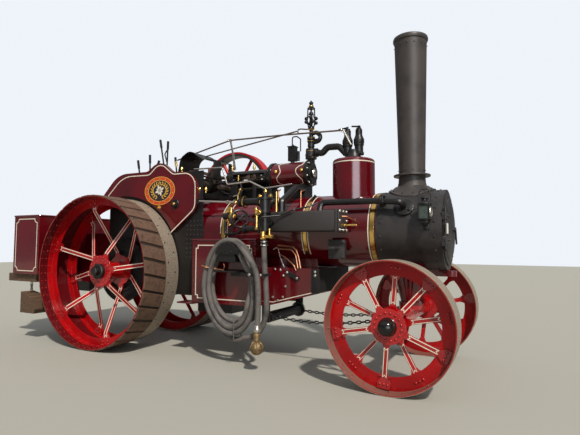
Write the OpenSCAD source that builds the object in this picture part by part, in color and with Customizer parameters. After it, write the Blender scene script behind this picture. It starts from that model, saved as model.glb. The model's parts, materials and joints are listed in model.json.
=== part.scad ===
// Steam traction engine, in millimetres. +X points forward, +Y to the driver's left, +Z up.
// Inside the modules x is measured forward from the rear axle, y from the middle and z from the ground.

/* [Overall] */
// Distance between the rear and the front axle
wheelbase = 3830; // [3600:10:4100]
// How far the tail timbers reach behind the tail tank
tail_overhang = 160; // [120:10:240]

/* [Rear wheels] */
// Radius of the rear rim plate
rear_rim_r = 978; // [930:2:1000]
// Thickness of the road strakes on the rear rim
strake_t = 12; // [8:1:16]
// Strakes round each rear wheel
strake_count = 30; // [24:1:34]
// Gap between two strakes
strake_gap = 16; // [10:1:30]
// Width of the straked band, measured from the outer edge
strake_w = 350; // [300:10:420]
// Width of the rear rim
rear_rim_w = 589; // [540:1:600]
// Distance from the middle of the engine to the outer face of a rear wheel
rear_face_y = 1063; // [1060:1:1090]
// Thickness of the rear rim plate
rear_rim_t = 12; // [10:1:16]
// Thickness of the tee ring webs and of the flat spokes
web_t = 14; // [10:1:18]
// Depth of the rear tee ring webs
rear_web_depth = 100; // [80:2:120]
// How far the outer tee ring lies inside the outer face
outer_ring_inset = 175; // [160:1:190]
// How far the inner tee ring lies inside the outer face
inner_ring_inset = 500; // [480:1:515]
// Spokes from each hub flange of a rear wheel
rear_spokes = 6; // [5:1:7]
// Width of a rear spoke
rear_spoke_w = 62; // [50:1:70]
// Radius of the rear hub flanges
rear_flange_r = 205; // [180:1:220]
// How far the outer hub flange of a rear wheel lies inside the outer face
rear_flange_inset = 189; // [170:1:210]
// Radius of the rear axle
rear_axle_r = 60; // [50:1:70]

/* [Front wheels] */
// Radius of the front wheels
front_r = 607; // [560:1:620]
// Width of a front rim
front_w = 250; // [220:1:260]
// Distance from the middle of the engine to the outer face of a front wheel
front_face_y = 971; // [960:1:990]
// Thickness of the front rim plate
front_rim_t = 14; // [10:1:18]
// Depth of the front web ring
front_web_depth = 130; // [110:2:140]
// Spokes on each side of a front web
front_spokes = 5; // [4:1:6]
// Width of a front spoke
front_spoke_w = 48; // [40:1:56]
// Radius of the front hub discs
front_flange_r = 163; // [150:1:180]
// Distance between the faces of the two front hub discs
front_disc_span = 134; // [120:1:150]
// Radius of the front stub axles
stub_r = 45; // [38:1:50]

/* [Boiler] */
// Radius of the boiler cladding
clad_r = 420; // [400:1:430]
// Height of the boiler centre line
boiler_z = 1510; // [1480:5:1540]
// Half width of the firebox
firebox_half_w = 436; // [430:1:440]
// Rear end of the firebox, from the rear axle
firebox_back_x = 1060; // [1050:5:1080]
// Joint between firebox and barrel, from the rear axle
firebox_front_x = 1675; // [1660:5:1800]
// Joint between barrel and smokebox, from the rear axle
smokebox_x = 3570; // [3560:2:3580]
// Length of the smokebox
smokebox_l = 665; // [655:1:670]
// Radius of the smokebox
smokebox_r = 427; // [424:1:430]
// Thickness of the smokebox shell
smokebox_t = 12; // [8:1:16]
// Radius of the smokebox door
door_r = 380; // [360:1:390]

/* [Chimney and dome] */
// Distance of the chimney from the rear axle
chimney_x = 3863; // [3850:1:3875]
// Outer radius of the chimney at its foot
chimney_foot_r = 173; // [165:1:180]
// Outer radius of the chimney under its rim
chimney_top_r = 186; // [182:1:195]
// Height of the top of the chimney
chimney_top_z = 3670; // [3500:10:3750]
// Thickness of the chimney wall
chimney_t = 8; // [6:1:12]
// Distance of the steam dome from the rear axle
dome_x = 3190; // [3160:5:3220]
// Radius of the dome casing
dome_r = 245; // [230:1:250]
// Height of the dome's top
dome_top_z = 2344; // [2320:2:2370]

/* [Motion] */
// Distance of the crankshaft from the rear axle
crank_x = 1120; // [1110:1:1130]
// Height of the crankshaft
crank_z = 2150; // [2145:1:2160]
// Radius of the crankshaft
crank_r = 50; // [45:1:55]
// Throw of the crank
crank_throw = 125; // [110:1:135]
// Gap between the flywheel and the strakes of the rear wheel
flywheel_gap = 42.4; // [30:0.2:80]
// Inner face of the flywheel rim, from the middle
flywheel_y = 555; // [550:1:570]
// Width of the flywheel rim
flywheel_w = 180; // [160:1:190]
// Radius of the cylinder lagging
cyl_r = 150; // [140:1:155]
// Rear end of the cylinder, from the rear axle
cyl_x = 2110; // [2090:5:2130]
// Length of the cylinder between its covers
cyl_l = 540; // [520:5:560]
// Height of the cylinder axis
cyl_z = 2225; // [2220:1:2235]

/* [Tanks and tender] */
// Distance of the side tank faces from the middle
tank_face_y = 660; // [640:2:668]
// Rear end of the side tanks
tank_x = 1355; // [1340:5:1370]
// Length of the side tanks
tank_l = 905; // [880:5:920]
// Underside of the side tanks
tank_z = 650; // [640:2:670]
// Top of the side tanks
tank_top_z = 1398; // [1380:2:1405]
// Distance of the tail tank's ends from the middle
tail_tank_y = 1045; // [1020:5:1050]
// Gap between the rear wheels and the tail tank
tail_gap = 50; // [30:5:80]
// Length of the tail tank
tail_tank_l = 560; // [540:5:580]
// Underside of the tail tank
tail_tank_z = 920; // [910:2:930]
// Top of the tail tank
tail_tank_top_z = 1740; // [1720:5:1760]
// Plate thickness of the tender
plate_t = 8; // [6:1:12]

/* [Steering] */
// Half width of the axle between its shoulders
axle_half = 700; // [690:1:706]
// Height of the axle beam
axle_h = 110; // [90:1:120]
// Radius of the kingpin
kingpin_r = 30; // [25:1:35]
// Radius of the steering chain roller
roller_r = 62; // [55:1:70]
// Distance of the roller from the rear axle
roller_x = 2270; // [2250:5:2290]
// Height of the roller
roller_z = 500; // [490:1:520]
// Distance of the steering chains from the middle
chain_y = 330; // [300:5:350]
// Links in each steering chain
chain_links = 20; // [16:1:22]
// How far a chain sags between its ends
chain_sag = 60; // [30:5:90]

/* [Suction hose] */
// Outer diameter of the hose
hose_d = 68; // [60:1:72]

/* [Hidden] */
chain_wire = 8;
worm_wheel_r = 90;
column_foot = [740, 205, 600];
column_head = [-330, 205, 1720];
$fn = 64;
run_gap = 0.05;
seat_gap = 0.3;
move_gap = 6;
deep = 1;
front_axle_x = wheelbase;
front_reach = wheelbase + front_r;
rear_z = rear_rim_r + strake_t;
flywheel_r = norm([crank_x, crank_z - rear_z]) - rear_z - flywheel_gap;
tail_tank_x = rear_z + tail_gap + tail_tank_l;
tail_reach = tail_tank_x + tail_overhang;
rear_axle_x = tail_reach - (tail_reach + front_reach) / 2;
smokebox_front_x = smokebox_x + smokebox_l;
horn_t = 18;
horn_y = firebox_half_w + seat_gap;
horn_face_y = horn_y + horn_t;
// Planes of a rear wheel, measured outwards from its inner face
rear_outer_web = rear_rim_w - outer_ring_inset - web_t;
rear_inner_web = rear_rim_w - inner_ring_inset;
rear_hub_r = 112;
flange_t = 18;
rear_flange_z = rear_rim_w - rear_flange_inset;
rear_cap_r = 98;
rear_boss_r = 57;
rear_cap_end = rear_flange_z + 110;
front_mid = front_w / 2;
front_disc_z = front_w - 51;
front_cap_r = 77;
front_cap_end = front_w + 96;
front_hub_r = 88;
front_hub_back = axle_half + front_w - front_face_y + deep;
gear_x = 930;
gear_z = 1870;
gear_y = -432;
gear_w = 40;
crank_teeth = 30;
shaft_teeth = 38;
gear_module = 2 * norm([crank_x - gear_x, crank_z - gear_z]) / (crank_teeth + shaft_teeth);
mesh_angle = atan2(gear_z - crank_z, crank_x - gear_x);
cover_t = 8;
cover_depth = 48;
wheel_room = 32;
coil_y = -702;
coil_depth = 134;
coil_x = 1985;
coil_z = 848;
coil_a = 365;
coil_b = 578;
coil_ring = 132;
coil_foot = 250;
coil_lean = 60;
saddle_r = 118;
hose_seat = 0.7;
saddle_x = coil_x;
saddle_z = coil_z + coil_b - coil_ring - saddle_r - hose_seat;
// Route of the hose from the pump down to the coil, and from the coil down to the strainer
drop_route = [[2434, -770, 1345], [2435, -770, 1250], [2442, -770, 1100], [2456, -771, 950], [2467, -772, 810],
    [2470, -772, 690], [2460, -772, 585], [2428, -771, 485], [2375, -770, 405], [2300, -769, 345],
    [2236, -768, 311]];
end_route = [[2238, -872, 1262], [2296, -874, 1208], [2352, -878, 1140], [2396, -880, 1060], [2420, -880, 960],
    [2430, -880, 840], [2431, -880, 700], [2427, -880, 580], [2421, -880, 500],
    [2421, -880, 465]];
hose_foot = end_route[len(end_route) - 1];

// Placing helpers
module engine() translate([rear_axle_x, 0, 0]) children();
module along_x(x, y, z) translate([x, y, z]) rotate([0, 90, 0]) children();
module along_y(x, y, z) translate([x, y, z]) rotate([-90, 0, 0]) children();
module both_sides() { children(); mirror([0, 1, 0]) children(); }
module block(x, y, z) translate([x[0], y[0], z[0]]) cube([x[1] - x[0], y[1] - y[0], z[1] - z[0]]);
module plate_xz(y, t) translate([0, y, 0]) rotate([90, 0, 0]) translate([0, 0, -t]) linear_extrude(t) children();
module ring(r_out, r_in, l) {
    difference() {
        cylinder(r = r_out, h = l);
        translate([0, 0, -deep]) cylinder(r = r_in, h = l + 2 * deep);
    }
}
module rod(a, b, r) {
    v = b - a;
    translate(a) rotate([0, acos(v[2] / norm(v)), atan2(v[1], v[0])]) cylinder(r = r, h = norm(v));
}

function unit(v) = v / norm(v);

// Tube swept along a route of points, with a ring of sides at each point. The route never runs along ref
module swept_tube(route, d, sides = 10, ref = [0, 1, 0]) {
    n = len(route);
    dirs = [for (i = [0 : n - 1]) unit(route[min(i + 1, n - 1)] - route[max(i - 1, 0)])];
    pts = [for (i = [0 : n - 1]) let (t = dirs[i], s = unit(cross(t, ref)), w = cross(t, s))
        for (k = [0 : sides - 1]) route[i] + d / 2 * (s * cos(360 * k / sides) + w * sin(360 * k / sides))];
    faces = concat([[for (k = [0 : sides - 1]) k]], [[for (k = [sides - 1 : -1 : 0]) (n - 1) * sides + k]],
        [for (i = [0 : n - 2]) for (k = [0 : sides - 1]) let (k2 = (k + 1) % sides)
            [i * sides + k, (i + 1) * sides + k, (i + 1) * sides + k2, i * sides + k2]]);
    polyhedron(pts, faces);
}

// Route through corner points, with an arc of the given bend radius at each inner corner
bend_steps = 4;
function corner(p, i, bend) = let (u = unit(p[i - 1] - p[i]), v = unit(p[i + 1] - p[i]),
    half = acos(-u * v) / 2, c = p[i] + unit(u + v) * bend / cos(half), m = unit(p[i] - c), w = unit(v - u))
    [for (k = [-bend_steps : bend_steps]) let (a = half * k / bend_steps) c + bend * (m * cos(a) + w * sin(a))];
function bent(p, bend) = concat([p[0]], len(p) < 3 ? [] : [for (i = [1 : len(p) - 2]) each corner(p, i, bend)],
    [p[len(p) - 1]]);
// Flat outlines with rounded corners, rows: x, z, radius. A closed one runs anticlockwise and can be moved inwards
function spot(t, i) = let (r = t[(i + len(t)) % len(t)]) [r[0], r[1]];
function round_at(t, i) =
    t[i][2] > 0 ? corner([spot(t, i - 1), spot(t, i), spot(t, i + 1)], 1, t[i][2]) : [spot(t, i)];
function rounded(t) = [for (i = [0 : len(t) - 1]) each round_at(t, i)];
function moved_in(t, d) = [for (i = [0 : len(t) - 1]) let (u = unit(spot(t, i) - spot(t, i - 1)),
    v = unit(spot(t, i + 1) - spot(t, i)), m = [-u[1] - v[1], u[0] + v[0]] / (1 + u * v))
    concat(spot(t, i) + d * m, max(t[i][2] - d * sign(u[0] * v[1] - u[1] * v[0]), 0))];
function open_path(t) =
    [for (i = [0 : len(t) - 1]) each i == 0 || i == len(t) - 1 ? [spot(t, i)] : round_at(t, i)];
function path_side(p, i) = let (v = unit(p[min(i + 1, len(p) - 1)] - p[max(i - 1, 0)])) [-v[1], v[0]];
module pipe(p, r, bend, sides = 12, ref = [0, 1, 0]) swept_tube(bent(p, bend), 2 * r, sides, ref);

// Boiler

module boiler_barrel() color("maroon") engine() {
    along_x(firebox_front_x, 0, boiler_z) cylinder(r = clad_r, h = smokebox_x - firebox_front_x - seat_gap);
}

module firebox() color("maroon") engine() {
    along_x(firebox_back_x, 0, boiler_z)
        cylinder(r = firebox_half_w, h = firebox_front_x - firebox_back_x - seat_gap);
    block([firebox_back_x, firebox_front_x - seat_gap], [-firebox_half_w, firebox_half_w], [700, boiler_z]);
    // Closed fire door on the back plate
    along_x(firebox_back_x - 24, 0, 1150) cylinder(r = 170, h = 24);
}

// Brass bands, columns: rear edge, width, radius that they lie on
band_t = 5;
band_table = [[firebox_front_x - 50, 44, firebox_half_w], [2730, 40, clad_r], [smokebox_x - 62, 46, clad_r]];
module boiler_bands() color("gold") engine() {
    for (b = [band_table[1], band_table[2]])
        along_x(b[0], 0, boiler_z) ring(b[2] + band_t, b[2] + seat_gap / 3, b[1]);
    b = band_table[0];
    difference() {
        along_x(b[0], 0, boiler_z) ring(b[2] + band_t, b[2] + seat_gap / 3, b[1]);
        block([b[0] - deep, b[0] + b[1] + deep], [-600, 600], [boiler_z - 600, boiler_z]);
    }
    both_sides() block([b[0], b[0] + b[1]], [b[2] + seat_gap / 3, b[2] + band_t], [tank_top_z + seat_gap, boiler_z]);
}

module smokebox() color("dimgray") engine() {
    difference() {
        along_x(smokebox_x, 0, boiler_z) cylinder(r = smokebox_r, h = smokebox_l);
        along_x(smokebox_x + 40, 0, boiler_z) cylinder(r = smokebox_r - smokebox_t, h = smokebox_l);
        translate([chimney_x, 0, boiler_z]) cylinder(r = chimney_foot_r - 30, h = smokebox_r + 50);
    }
    // Front ring that carries the door
    along_x(smokebox_front_x - 14, 0, boiler_z) ring(smokebox_r - smokebox_t + 2, door_r - 30, 14);
    smokebox_hinge_eyes();
}

hinge_y = -(door_r + 22);
hinge_x = smokebox_front_x + 34;
module smokebox_hinge_eyes() {
    for (z = [-150, 150]) translate([0, 0, boiler_z + z]) difference() {
        union() {
            translate([hinge_x, hinge_y, -22]) cylinder(r = 16, h = 44);
            block([smokebox_front_x + seat_gap, hinge_x], [hinge_y - 14, hinge_y + 6], [-22, 22]);
        }
        translate([hinge_x, hinge_y, -30]) cylinder(r = 8, h = 60);
    }
}

module smokebox_door() color("dimgray") engine() {
    along_x(smokebox_front_x + move_gap / 6, 0, boiler_z) {
        cylinder(r = door_r, h = 12);
        // Dished middle of the door
        rotate_extrude()
            polygon(concat([[0, 6]], [for (a = [0 : 15 : 90]) [(door_r - 50) * cos(a), 12 + 42 * sin(a)]]));
        cylinder(r = 26, h = 80);
    }
    // Hinge straps, pin and closing handle
    for (z = [-150, 150]) {
        block([hinge_x - 22, hinge_x - 8], [hinge_y + 20, -60], [boiler_z + z - 18, boiler_z + z + 18]);
        block([hinge_x - 22, hinge_x - 8], [hinge_y + 20, hinge_y + 70], [boiler_z + z - 52, boiler_z + z + 52]);
    }
    for (z = [-150, 150]) for (e = [-1, 1]) translate([0, 0, boiler_z + z + e * 38]) difference() {
        union() {
            translate([hinge_x, hinge_y, -14]) cylinder(r = 16, h = 28);
            block([hinge_x - 22, hinge_x], [hinge_y, hinge_y + 60], [-14, 14]);
        }
        translate([hinge_x, hinge_y, -20]) cylinder(r = 8.05, h = 40);
    }
    translate([hinge_x, hinge_y, boiler_z - 220]) cylinder(r = 7.95, h = 440);
    rod([smokebox_front_x + 75, 0, boiler_z], [smokebox_front_x + 75, 60, boiler_z - 150], 10);
}

module chimney() color("dimgray") engine() {
    translate([chimney_x, 0, 0]) difference() {
        union() {
            // Saddle on the smokebox
            translate([0, 0, boiler_z + smokebox_r - 60]) cylinder(r1 = 240, r2 = 165, h = 110);
            translate([0, 0, boiler_z + smokebox_r]) cylinder(r = 162, h = 2085 - boiler_z - smokebox_r);
            translate([0, 0, 2085]) cylinder(r = 205, h = 30);
            translate([0, 0, 2115]) cylinder(r1 = chimney_foot_r, r2 = chimney_top_r, h = chimney_top_z - 2115 - 60);
            translate([0, 0, chimney_top_z - 60]) cylinder(r = chimney_top_r + 10, h = 60);
        }
        along_x(chimney_x - 4300, 0, boiler_z) cylinder(r = smokebox_r + seat_gap, h = 1200);
        translate([0, 0, boiler_z]) cylinder(r = chimney_foot_r - 30, h = 2115 - boiler_z);
        translate([0, 0, 2114]) cylinder(r1 = chimney_foot_r - chimney_t - 20, r2 = chimney_top_r - chimney_t,
            h = chimney_top_z - 2112);
    }
}

dome_shoulder = 34;
module steam_dome() color("maroon") engine() {
    translate([dome_x, 0, 0]) difference() {
        union() {
            translate([0, 0, boiler_z]) cylinder(r = dome_r, h = dome_top_z - boiler_z - dome_shoulder);
            translate([0, 0, dome_top_z - dome_shoulder]) rotate_extrude()
                polygon(concat([[0, -deep], [dome_r, -deep]], [for (a = [0 : 15 : 90])
                    [dome_r - dome_shoulder * (1 - cos(a)), dome_shoulder * sin(a)]], [[0, dome_shoulder]]));
        }
        along_x(-400, 0, boiler_z) cylinder(r = clad_r + seat_gap, h = 800);
    }
}

module safety_valves() color("dimgray") engine() {
    translate([dome_x, 0, dome_top_z + seat_gap]) {
        cylinder(r = 130, h = 24);
        cylinder(r1 = 90, r2 = 60, h = 110);
        block([-40, 40], [-120, 120], [80, 130]);
        for (y = [-75, 75]) translate([0, y, 100]) {
            cylinder(r = 52, h = 190);
            translate([0, 0, 40]) cylinder(r = 60, h = 22);
            translate([0, 0, 190]) cylinder(r1 = 52, r2 = 34, h = 40);
            translate([0, 0, 230]) cylinder(r = 24, h = 40);
        }
        rod([-180, 0, 300], [60, 0, 170], 9);
    }
}

// Steam pipe from the dome to the governor valve, and exhaust pipe to the smokebox
exhaust_lift = 31;
function exhaust_at(r) = [smokebox_x + 290, -r * cos(exhaust_lift), boiler_z + r * sin(exhaust_lift)];
module steam_pipes() color("dimgray") engine() {
    pipe([[dome_x - 98, 0, dome_top_z + 90], [dome_x - 180, 0, dome_top_z + 180],
        [dome_x - 330, 0, dome_top_z + 185], [dome_x - 400, 0, dome_top_z + 115],
        [gov_x + 88, 0, gov_z + 74]], 40, 70);
    along_x(gov_x + 66 + seat_gap, 0, gov_z + 74) cylinder(r = 54, h = 24);
    pipe([[2960, -430, 1720], [2960, -430, 1815], [3560, -430, 1808], exhaust_at(540), exhaust_at(smokebox_r + 4)],
        34, 60);
    rod(exhaust_at(smokebox_r + 4), exhaust_at(smokebox_r + 20), 56);
    along_x(3560, -430, 1808) cylinder(r = 62, h = 36);
    // Exhaust from the cylinder down to the feed heater
    pipe([[cyl_x + 455, -70 - seat_gap, cyl_z - 200], [cyl_x + 455, -260, cyl_z - 200], [cyl_x + 440, -470, 1890],
        [cyl_x + 430, heater_y + 30, 1830], [cyl_x + 430, heater_y + 30, heater_z + 134 + seat_gap]],
        42, 50, 12, [1, 0, 0]);
}

// Motion

module cylinder_lagging() color("maroon") engine() {
    along_x(cyl_x + 40, 0, cyl_z) cylinder(r = cyl_r, h = cyl_l - 80);
}

module cylinder_castings() color("dimgray") engine() {
    difference() {
        block([cyl_x + 190, cyl_x + cyl_l - 60], [-70, 150], [boiler_z + 300, cyl_z]);
        along_x(cyl_x - 60, 0, boiler_z) cylinder(r = clad_r + seat_gap, h = cyl_l + 200);
        along_x(cyl_x - 60, 0, cyl_z) cylinder(r = cyl_r + seat_gap, h = cyl_l + 200);
    }
    along_x(cyl_x, 0, cyl_z) difference() {
        cylinder(r = cyl_r + 14, h = 40 - seat_gap);
        translate([0, 0, -deep]) cylinder(r = 22 + run_gap, h = 20 + deep);
    }
    // Seat of the governor column on the front flange
    block([gov_x - 28, gov_x + 28], [-50, 50], [cyl_z + 100, cyl_z + cyl_r + 26]);
    along_x(cyl_x + cyl_l - 40 + seat_gap, 0, cyl_z) {
        cylinder(r = cyl_r + 14, h = 40);
        cylinder(r = cyl_r - 30, h = 62);
        cylinder(r = 60, h = 76);
    }
    // Valve chest on the left side of the cylinder
    difference() {
        block([cyl_x + 70, cyl_x + cyl_l - 70], [0, 300], [cyl_z - 110, cyl_z + 90]);
        along_x(cyl_x - 60, 0, cyl_z) cylinder(r = cyl_r + seat_gap, h = cyl_l + 200);
    }
}

trunk_x = 1450;
module trunk_guide() color("dimgray") engine() {
    difference() {
        union() {
            along_x(trunk_x, 0, cyl_z) cylinder(r = 96, h = cyl_x - trunk_x - seat_gap);
            along_x(cyl_x - 30, 0, cyl_z) cylinder(r = 140, h = 30 - seat_gap);
            along_x(trunk_x, 0, cyl_z) cylinder(r = 108, h = 40);
            // Foot on the boiler
            block([trunk_x + 60, trunk_x + 160], [-90, 90], [boiler_z + 400, cyl_z]);
        }
        along_x(trunk_x - deep, 0, cyl_z) cylinder(r = 76, h = cyl_x - trunk_x + 2 * deep);
        // Long windows in both sides of the guide
        block([trunk_x + 90, cyl_x - 90], [-120, 120], [cyl_z - 44, cyl_z + 44]);
        along_x(trunk_x - deep, 0, boiler_z) cylinder(r = firebox_half_w + seat_gap, h = 700);
    }
}

pin_x = crank_x + crank_throw * cos(60);
pin_z = crank_z + crank_throw * sin(60);
crosshead_x = 1820;
gov_x = cyl_x + cyl_l - 10;
gov_z = cyl_z + cyl_r + 26 + seat_gap;
module motion_rods() color("silver") engine() {
    along_x(crosshead_x - 60, 0, cyl_z) difference() {
        cylinder(r = 76 - run_gap, h = 120);
        translate([-100, -100, 30]) cube([200, 72, 60]);
        translate([-100, 28, 30]) cube([200, 72, 60]);
    }
    along_x(crosshead_x + 60, 0, cyl_z) cylinder(r = 22, h = cyl_x - crosshead_x - 60 + 16);
    rod([crosshead_x - 60, 0, cyl_z], [pin_x + 40, 0, pin_z], 24);
    along_y(pin_x, -32, pin_z) ring(64, 36.05, 64);
}

module crankshaft() color("silver") engine() {
    along_y(crank_x, -horn_face_y, crank_z) cylinder(r = crank_r, h = horn_face_y - 34);
    along_y(crank_x, 34, crank_z) cylinder(r = crank_r, h = flywheel_y + flywheel_w - 34);
    along_y(pin_x, -34, pin_z) cylinder(r = 36, h = 68);
    for (y = [-84, 34]) hull() {
        along_y(crank_x, y, crank_z) cylinder(r = 74, h = 50, $fn = 32);
        along_y(pin_x, y, pin_z) cylinder(r = 62, h = 50, $fn = 32);
    }
    along_y(crank_x, gear_y, crank_z) rotate(mesh_angle + 180 - 0.19 * 360 / crank_teeth)
        gear(gear_module * crank_teeth / 2, gear_w, crank_teeth);
}

// Spur gear with straight flanked teeth, columns of its tooth: share of the pitch, height in modules
tooth_table = [[0, -1.2], [0.38, -1.2], [0.54, 0.9], [0.84, 0.9]];
module gear(r, w, teeth) {
    linear_extrude(w) polygon([for (i = [0 : teeth - 1]) for (c = tooth_table)
        let (a = 360 * (i + c[0]) / teeth, d = r + c[1] * 2 * r / teeth) [d * cos(a), d * sin(a)]]);
}

module flywheel() color("firebrick") engine() {
    along_y(crank_x, flywheel_y, crank_z) {
        ring(flywheel_r, flywheel_r - 62, flywheel_w);
        ring(95, crank_r + run_gap, flywheel_w - 20);
        for (i = [0 : 5]) rotate(60 * i) translate([88, 0, flywheel_w / 2 - 20])
            rotate([0, 90, 0]) cylinder(r = 24, h = flywheel_r - 88 - 50);
    }
}

horn_outline = [[-330, 760], [-330, 2010], [-80, 2230], [640, 2260], [880, 2290], [1335, 2290],
    [1335, 1700], [1345, 1600], [1345, 700], [300, 700], [120, 760]];
module hornplates() color("dimgray") engine() {
    for (y = [-horn_face_y, horn_y]) difference() {
        plate_xz(y, horn_t) polygon(horn_outline);
        along_y(0, y - deep, rear_z) cylinder(r = rear_axle_r + run_gap, h = horn_t + 2 * deep);
        along_y(crank_x, y - deep, crank_z) cylinder(r = crank_r + run_gap, h = horn_t + 2 * deep);
        along_y(gear_x, y - deep, gear_z) cylinder(r = 45 + run_gap, h = horn_t + 2 * deep);
    }
    // Spectacle plate between the hornplates, in front of the crank
    block([1300, 1320], [-horn_y, horn_y], [boiler_z + firebox_half_w + 4, 2010]);
    block([640, 660], [-horn_y, horn_y], [1560, 1760]);
    // Bracket that guides the feed pump's rod
    difference() {
        block([1300, 1328], [pump_rod_y - 30, -horn_face_y + deep], [pump_rod_z + 8, pump_rod_z + 68]);
        along_x(1290, pump_rod_y, pump_rod_z + 39) cylinder(r = 15, h = 50);
    }
}

// Outline of the gear cover: columns: x, z, radius
cover_rows = [[850, 1480, 40], [1277, 1795, 170], [1277, 2290, 262], [884, 2290, 110], [650, 2472, 200],
    [425, 2328, 110], [-130, 2328, 420], [-560, 1900, 0], [-560, 1480, 0]];
module cover_shape(inset, t) {
    difference() {
        plate_xz(0, t) polygon(rounded(moved_in(cover_rows, inset)));
        along_y(0, -deep, rear_z) cylinder(r = rear_z + wheel_room + inset, h = t + 2 * deep);
    }
}
module gear_cover() color("maroon") engine() {
    translate([0, -horn_face_y - seat_gap - cover_depth, 0]) difference() {
        cover_shape(0, cover_depth);
        translate([0, cover_t, 0]) cover_shape(cover_t, cover_depth);
        along_y(gear_x, -deep, gear_z) cylinder(r = 60, h = cover_depth);
    }
}

module second_shaft() color("dimgray") engine() {
    along_y(gear_x, -horn_face_y - cover_depth - 30, gear_z)
        cylinder(r = 45, h = 2 * horn_face_y + cover_depth + 60);
    along_y(gear_x, gear_y, gear_z) rotate(mesh_angle - 0.69 * 360 / shaft_teeth)
        gear(gear_module * shaft_teeth / 2, gear_w, shaft_teeth);
}

// Guard over the crank, a bent sheet: columns of its upper side: x and z from the crankshaft, bend radius
guard_rows = [[-390, 150, 0], [-340, 385, 130], [-180, 475, 120], [30, 340, 160], [225, 315, 0]];
guard_t = 5;
guard_side = [[-250, -90], [90, 170]];
module crank_guard() color("dimgray") engine() {
    top = open_path(guard_rows);
    translate([crank_x, 0, crank_z]) plate_xz(-250, 420)
        polygon(concat(top, [for (i = [len(top) - 1 : -1 : 0]) top[i] - guard_t * path_side(top, i)]));
    // Legs of the guard on both sides of the connecting rod, and the stays that carry them from the hornplates
    for (f = [[-390, 16, 155], [219, -10, 315]]) translate([crank_x + f[0], 0, crank_z]) {
        for (y = guard_side) block([0, 6], y, [65, f[2]]);
        along_y(f[1], -horn_y, 65) cylinder(r = 12, h = horn_y + guard_side[0][1]);
        along_y(f[1], guard_side[1][0], 65) cylinder(r = 12, h = horn_y - guard_side[1][0]);
    }
}

// Governor and whistle column, turned parts: columns: foot height, radius, top radius, length
governor_parts = [[0, 70, 70, 16], [16, 44, 44, 20], [36, 66, 66, 74], [110, 64, 64, 16],
    [126, 34, 30, 110], [236, 48, 48, 40], [276, 26, 20, 110], [386, 36, 36, 22], [408, 14, 14, 150],
    [558, 34, 22, 30], [588, 10, 6, 120]];
module governor() color("dimgray") engine() {
    for (g = governor_parts) translate([gov_x, 0, gov_z + g[0]]) cylinder(r1 = g[1], r2 = g[2], h = g[3]);
    for (a = [0 : 3]) translate([gov_x, 0, gov_z]) rotate(90 * a + 45) {
        rod([26, 0, 398], [62, 0, 452], 5);
        translate([66, 0, 458]) sphere(r = 22, $fn = 32);
        rod([62, 0, 462], [20, 0, 568], 5);
    }
    // Lubricator on the cylinder, a square box on a short foot
    translate([cyl_x + 275, 0, cyl_z + cyl_r]) {
        translate([0, 0, seat_gap]) cylinder(r = 26, h = 40);
        block([-45, 45], [-45, 45], [20, 200]);
        block([-52, 52], [-52, 52], [196, 208]);
        translate([0, 0, 205]) cylinder(r = 14, h = 28);
        translate([78, 0, 20 + seat_gap]) cylinder(r = 20, h = 120);
        block([30, 90], [-8, 8], [60, 76]);
    }
}

rod_r = 9;
lever_r = 11;
rod_y = lever_r + rod_r + seat_gap;
pump_rod_y = -500;
pump_rod_z = 1852;
module control_rods() color("silver") engine() {
    // Regulator rod to the safety valve lever, and governor rod
    pipe([[522, -rod_y, 2545], [1420, -rod_y, 2746], [2300, -40, 2743], [2860, -40, 2740], [3010, -rod_y, 2650]],
        rod_r, 60, 8);
    pipe([[584, 0, 2501], [800, 0, 2640], [1020, 0, 2662], [1900, 0, 2700], [gov_x - 200, 0, gov_z + 300],
        [gov_x - 25.6, 0, gov_z + 300]], rod_r, 60, 8);
    pipe([[1450, -rod_y, 2748], [1500, -rod_y, 2560], [1552, -rod_y, cyl_z + 106]], rod_r, 60, 8);
    // Drain cock rod, with its bracket on the hornplate and its end at the cylinder
    pipe([[1060, -300, 2347], [1520, -300, 2335], [1600, -300, 2110], [1940, -300, 2130],
        [cyl_x + 40, -300, 2030], [cyl_x + 420, -300, 2062]], rod_r, 30, 8);
    block([1296, 1314], [-horn_y + seat_gap, -292], [2240, 2280]);
    block([1296, 1314], [-308, -292], [2240, 2350]);
    along_y(cyl_x + 400, -308, 2060) cylinder(r = rod_r, h = 308 - 70 - seat_gap);
    // Rod of the feed pump, with its joint, from the bracket on the hornplate
    rod([1300, pump_rod_y, pump_rod_z + 40], [1928, pump_rod_y, pump_rod_z], 13);
    along_y(1760, pump_rod_y - 20, pump_rod_z + 10) cylinder(r = 22, h = 40);
}

// Levers at the footplate, columns: foot x, head x, y, head z
lever_table = [[250, 110, -330, 2560], [330, 260, -270, 2610], [330, 420, -210, 2560],
    [470, 400, -150, 2800], [470, 520, -90, 2760], [560, 500, -2 * rod_y, 2600], [600, 560, rod_y, 2560]];
shelf_z = crank_z;
module levers() color("dimgray") engine() {
    block([180, 640], [-horn_y + seat_gap, 2 * rod_y], [shelf_z, shelf_z + 16]);
    for (l = lever_table) {
        rod([l[0], l[2], shelf_z + 10], [l[1], l[2], l[3] - 90], lever_r);
        rod([l[1], l[2], l[3] - 95], [l[1] + (l[1] - l[0]) * 0.2, l[2], l[3]], 17);
    }
    for (x = [190, 420]) block([x, x + 40], [-horn_y + seat_gap, -horn_y + 16], [shelf_z - 320, shelf_z]);
}

// Feed water

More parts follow.
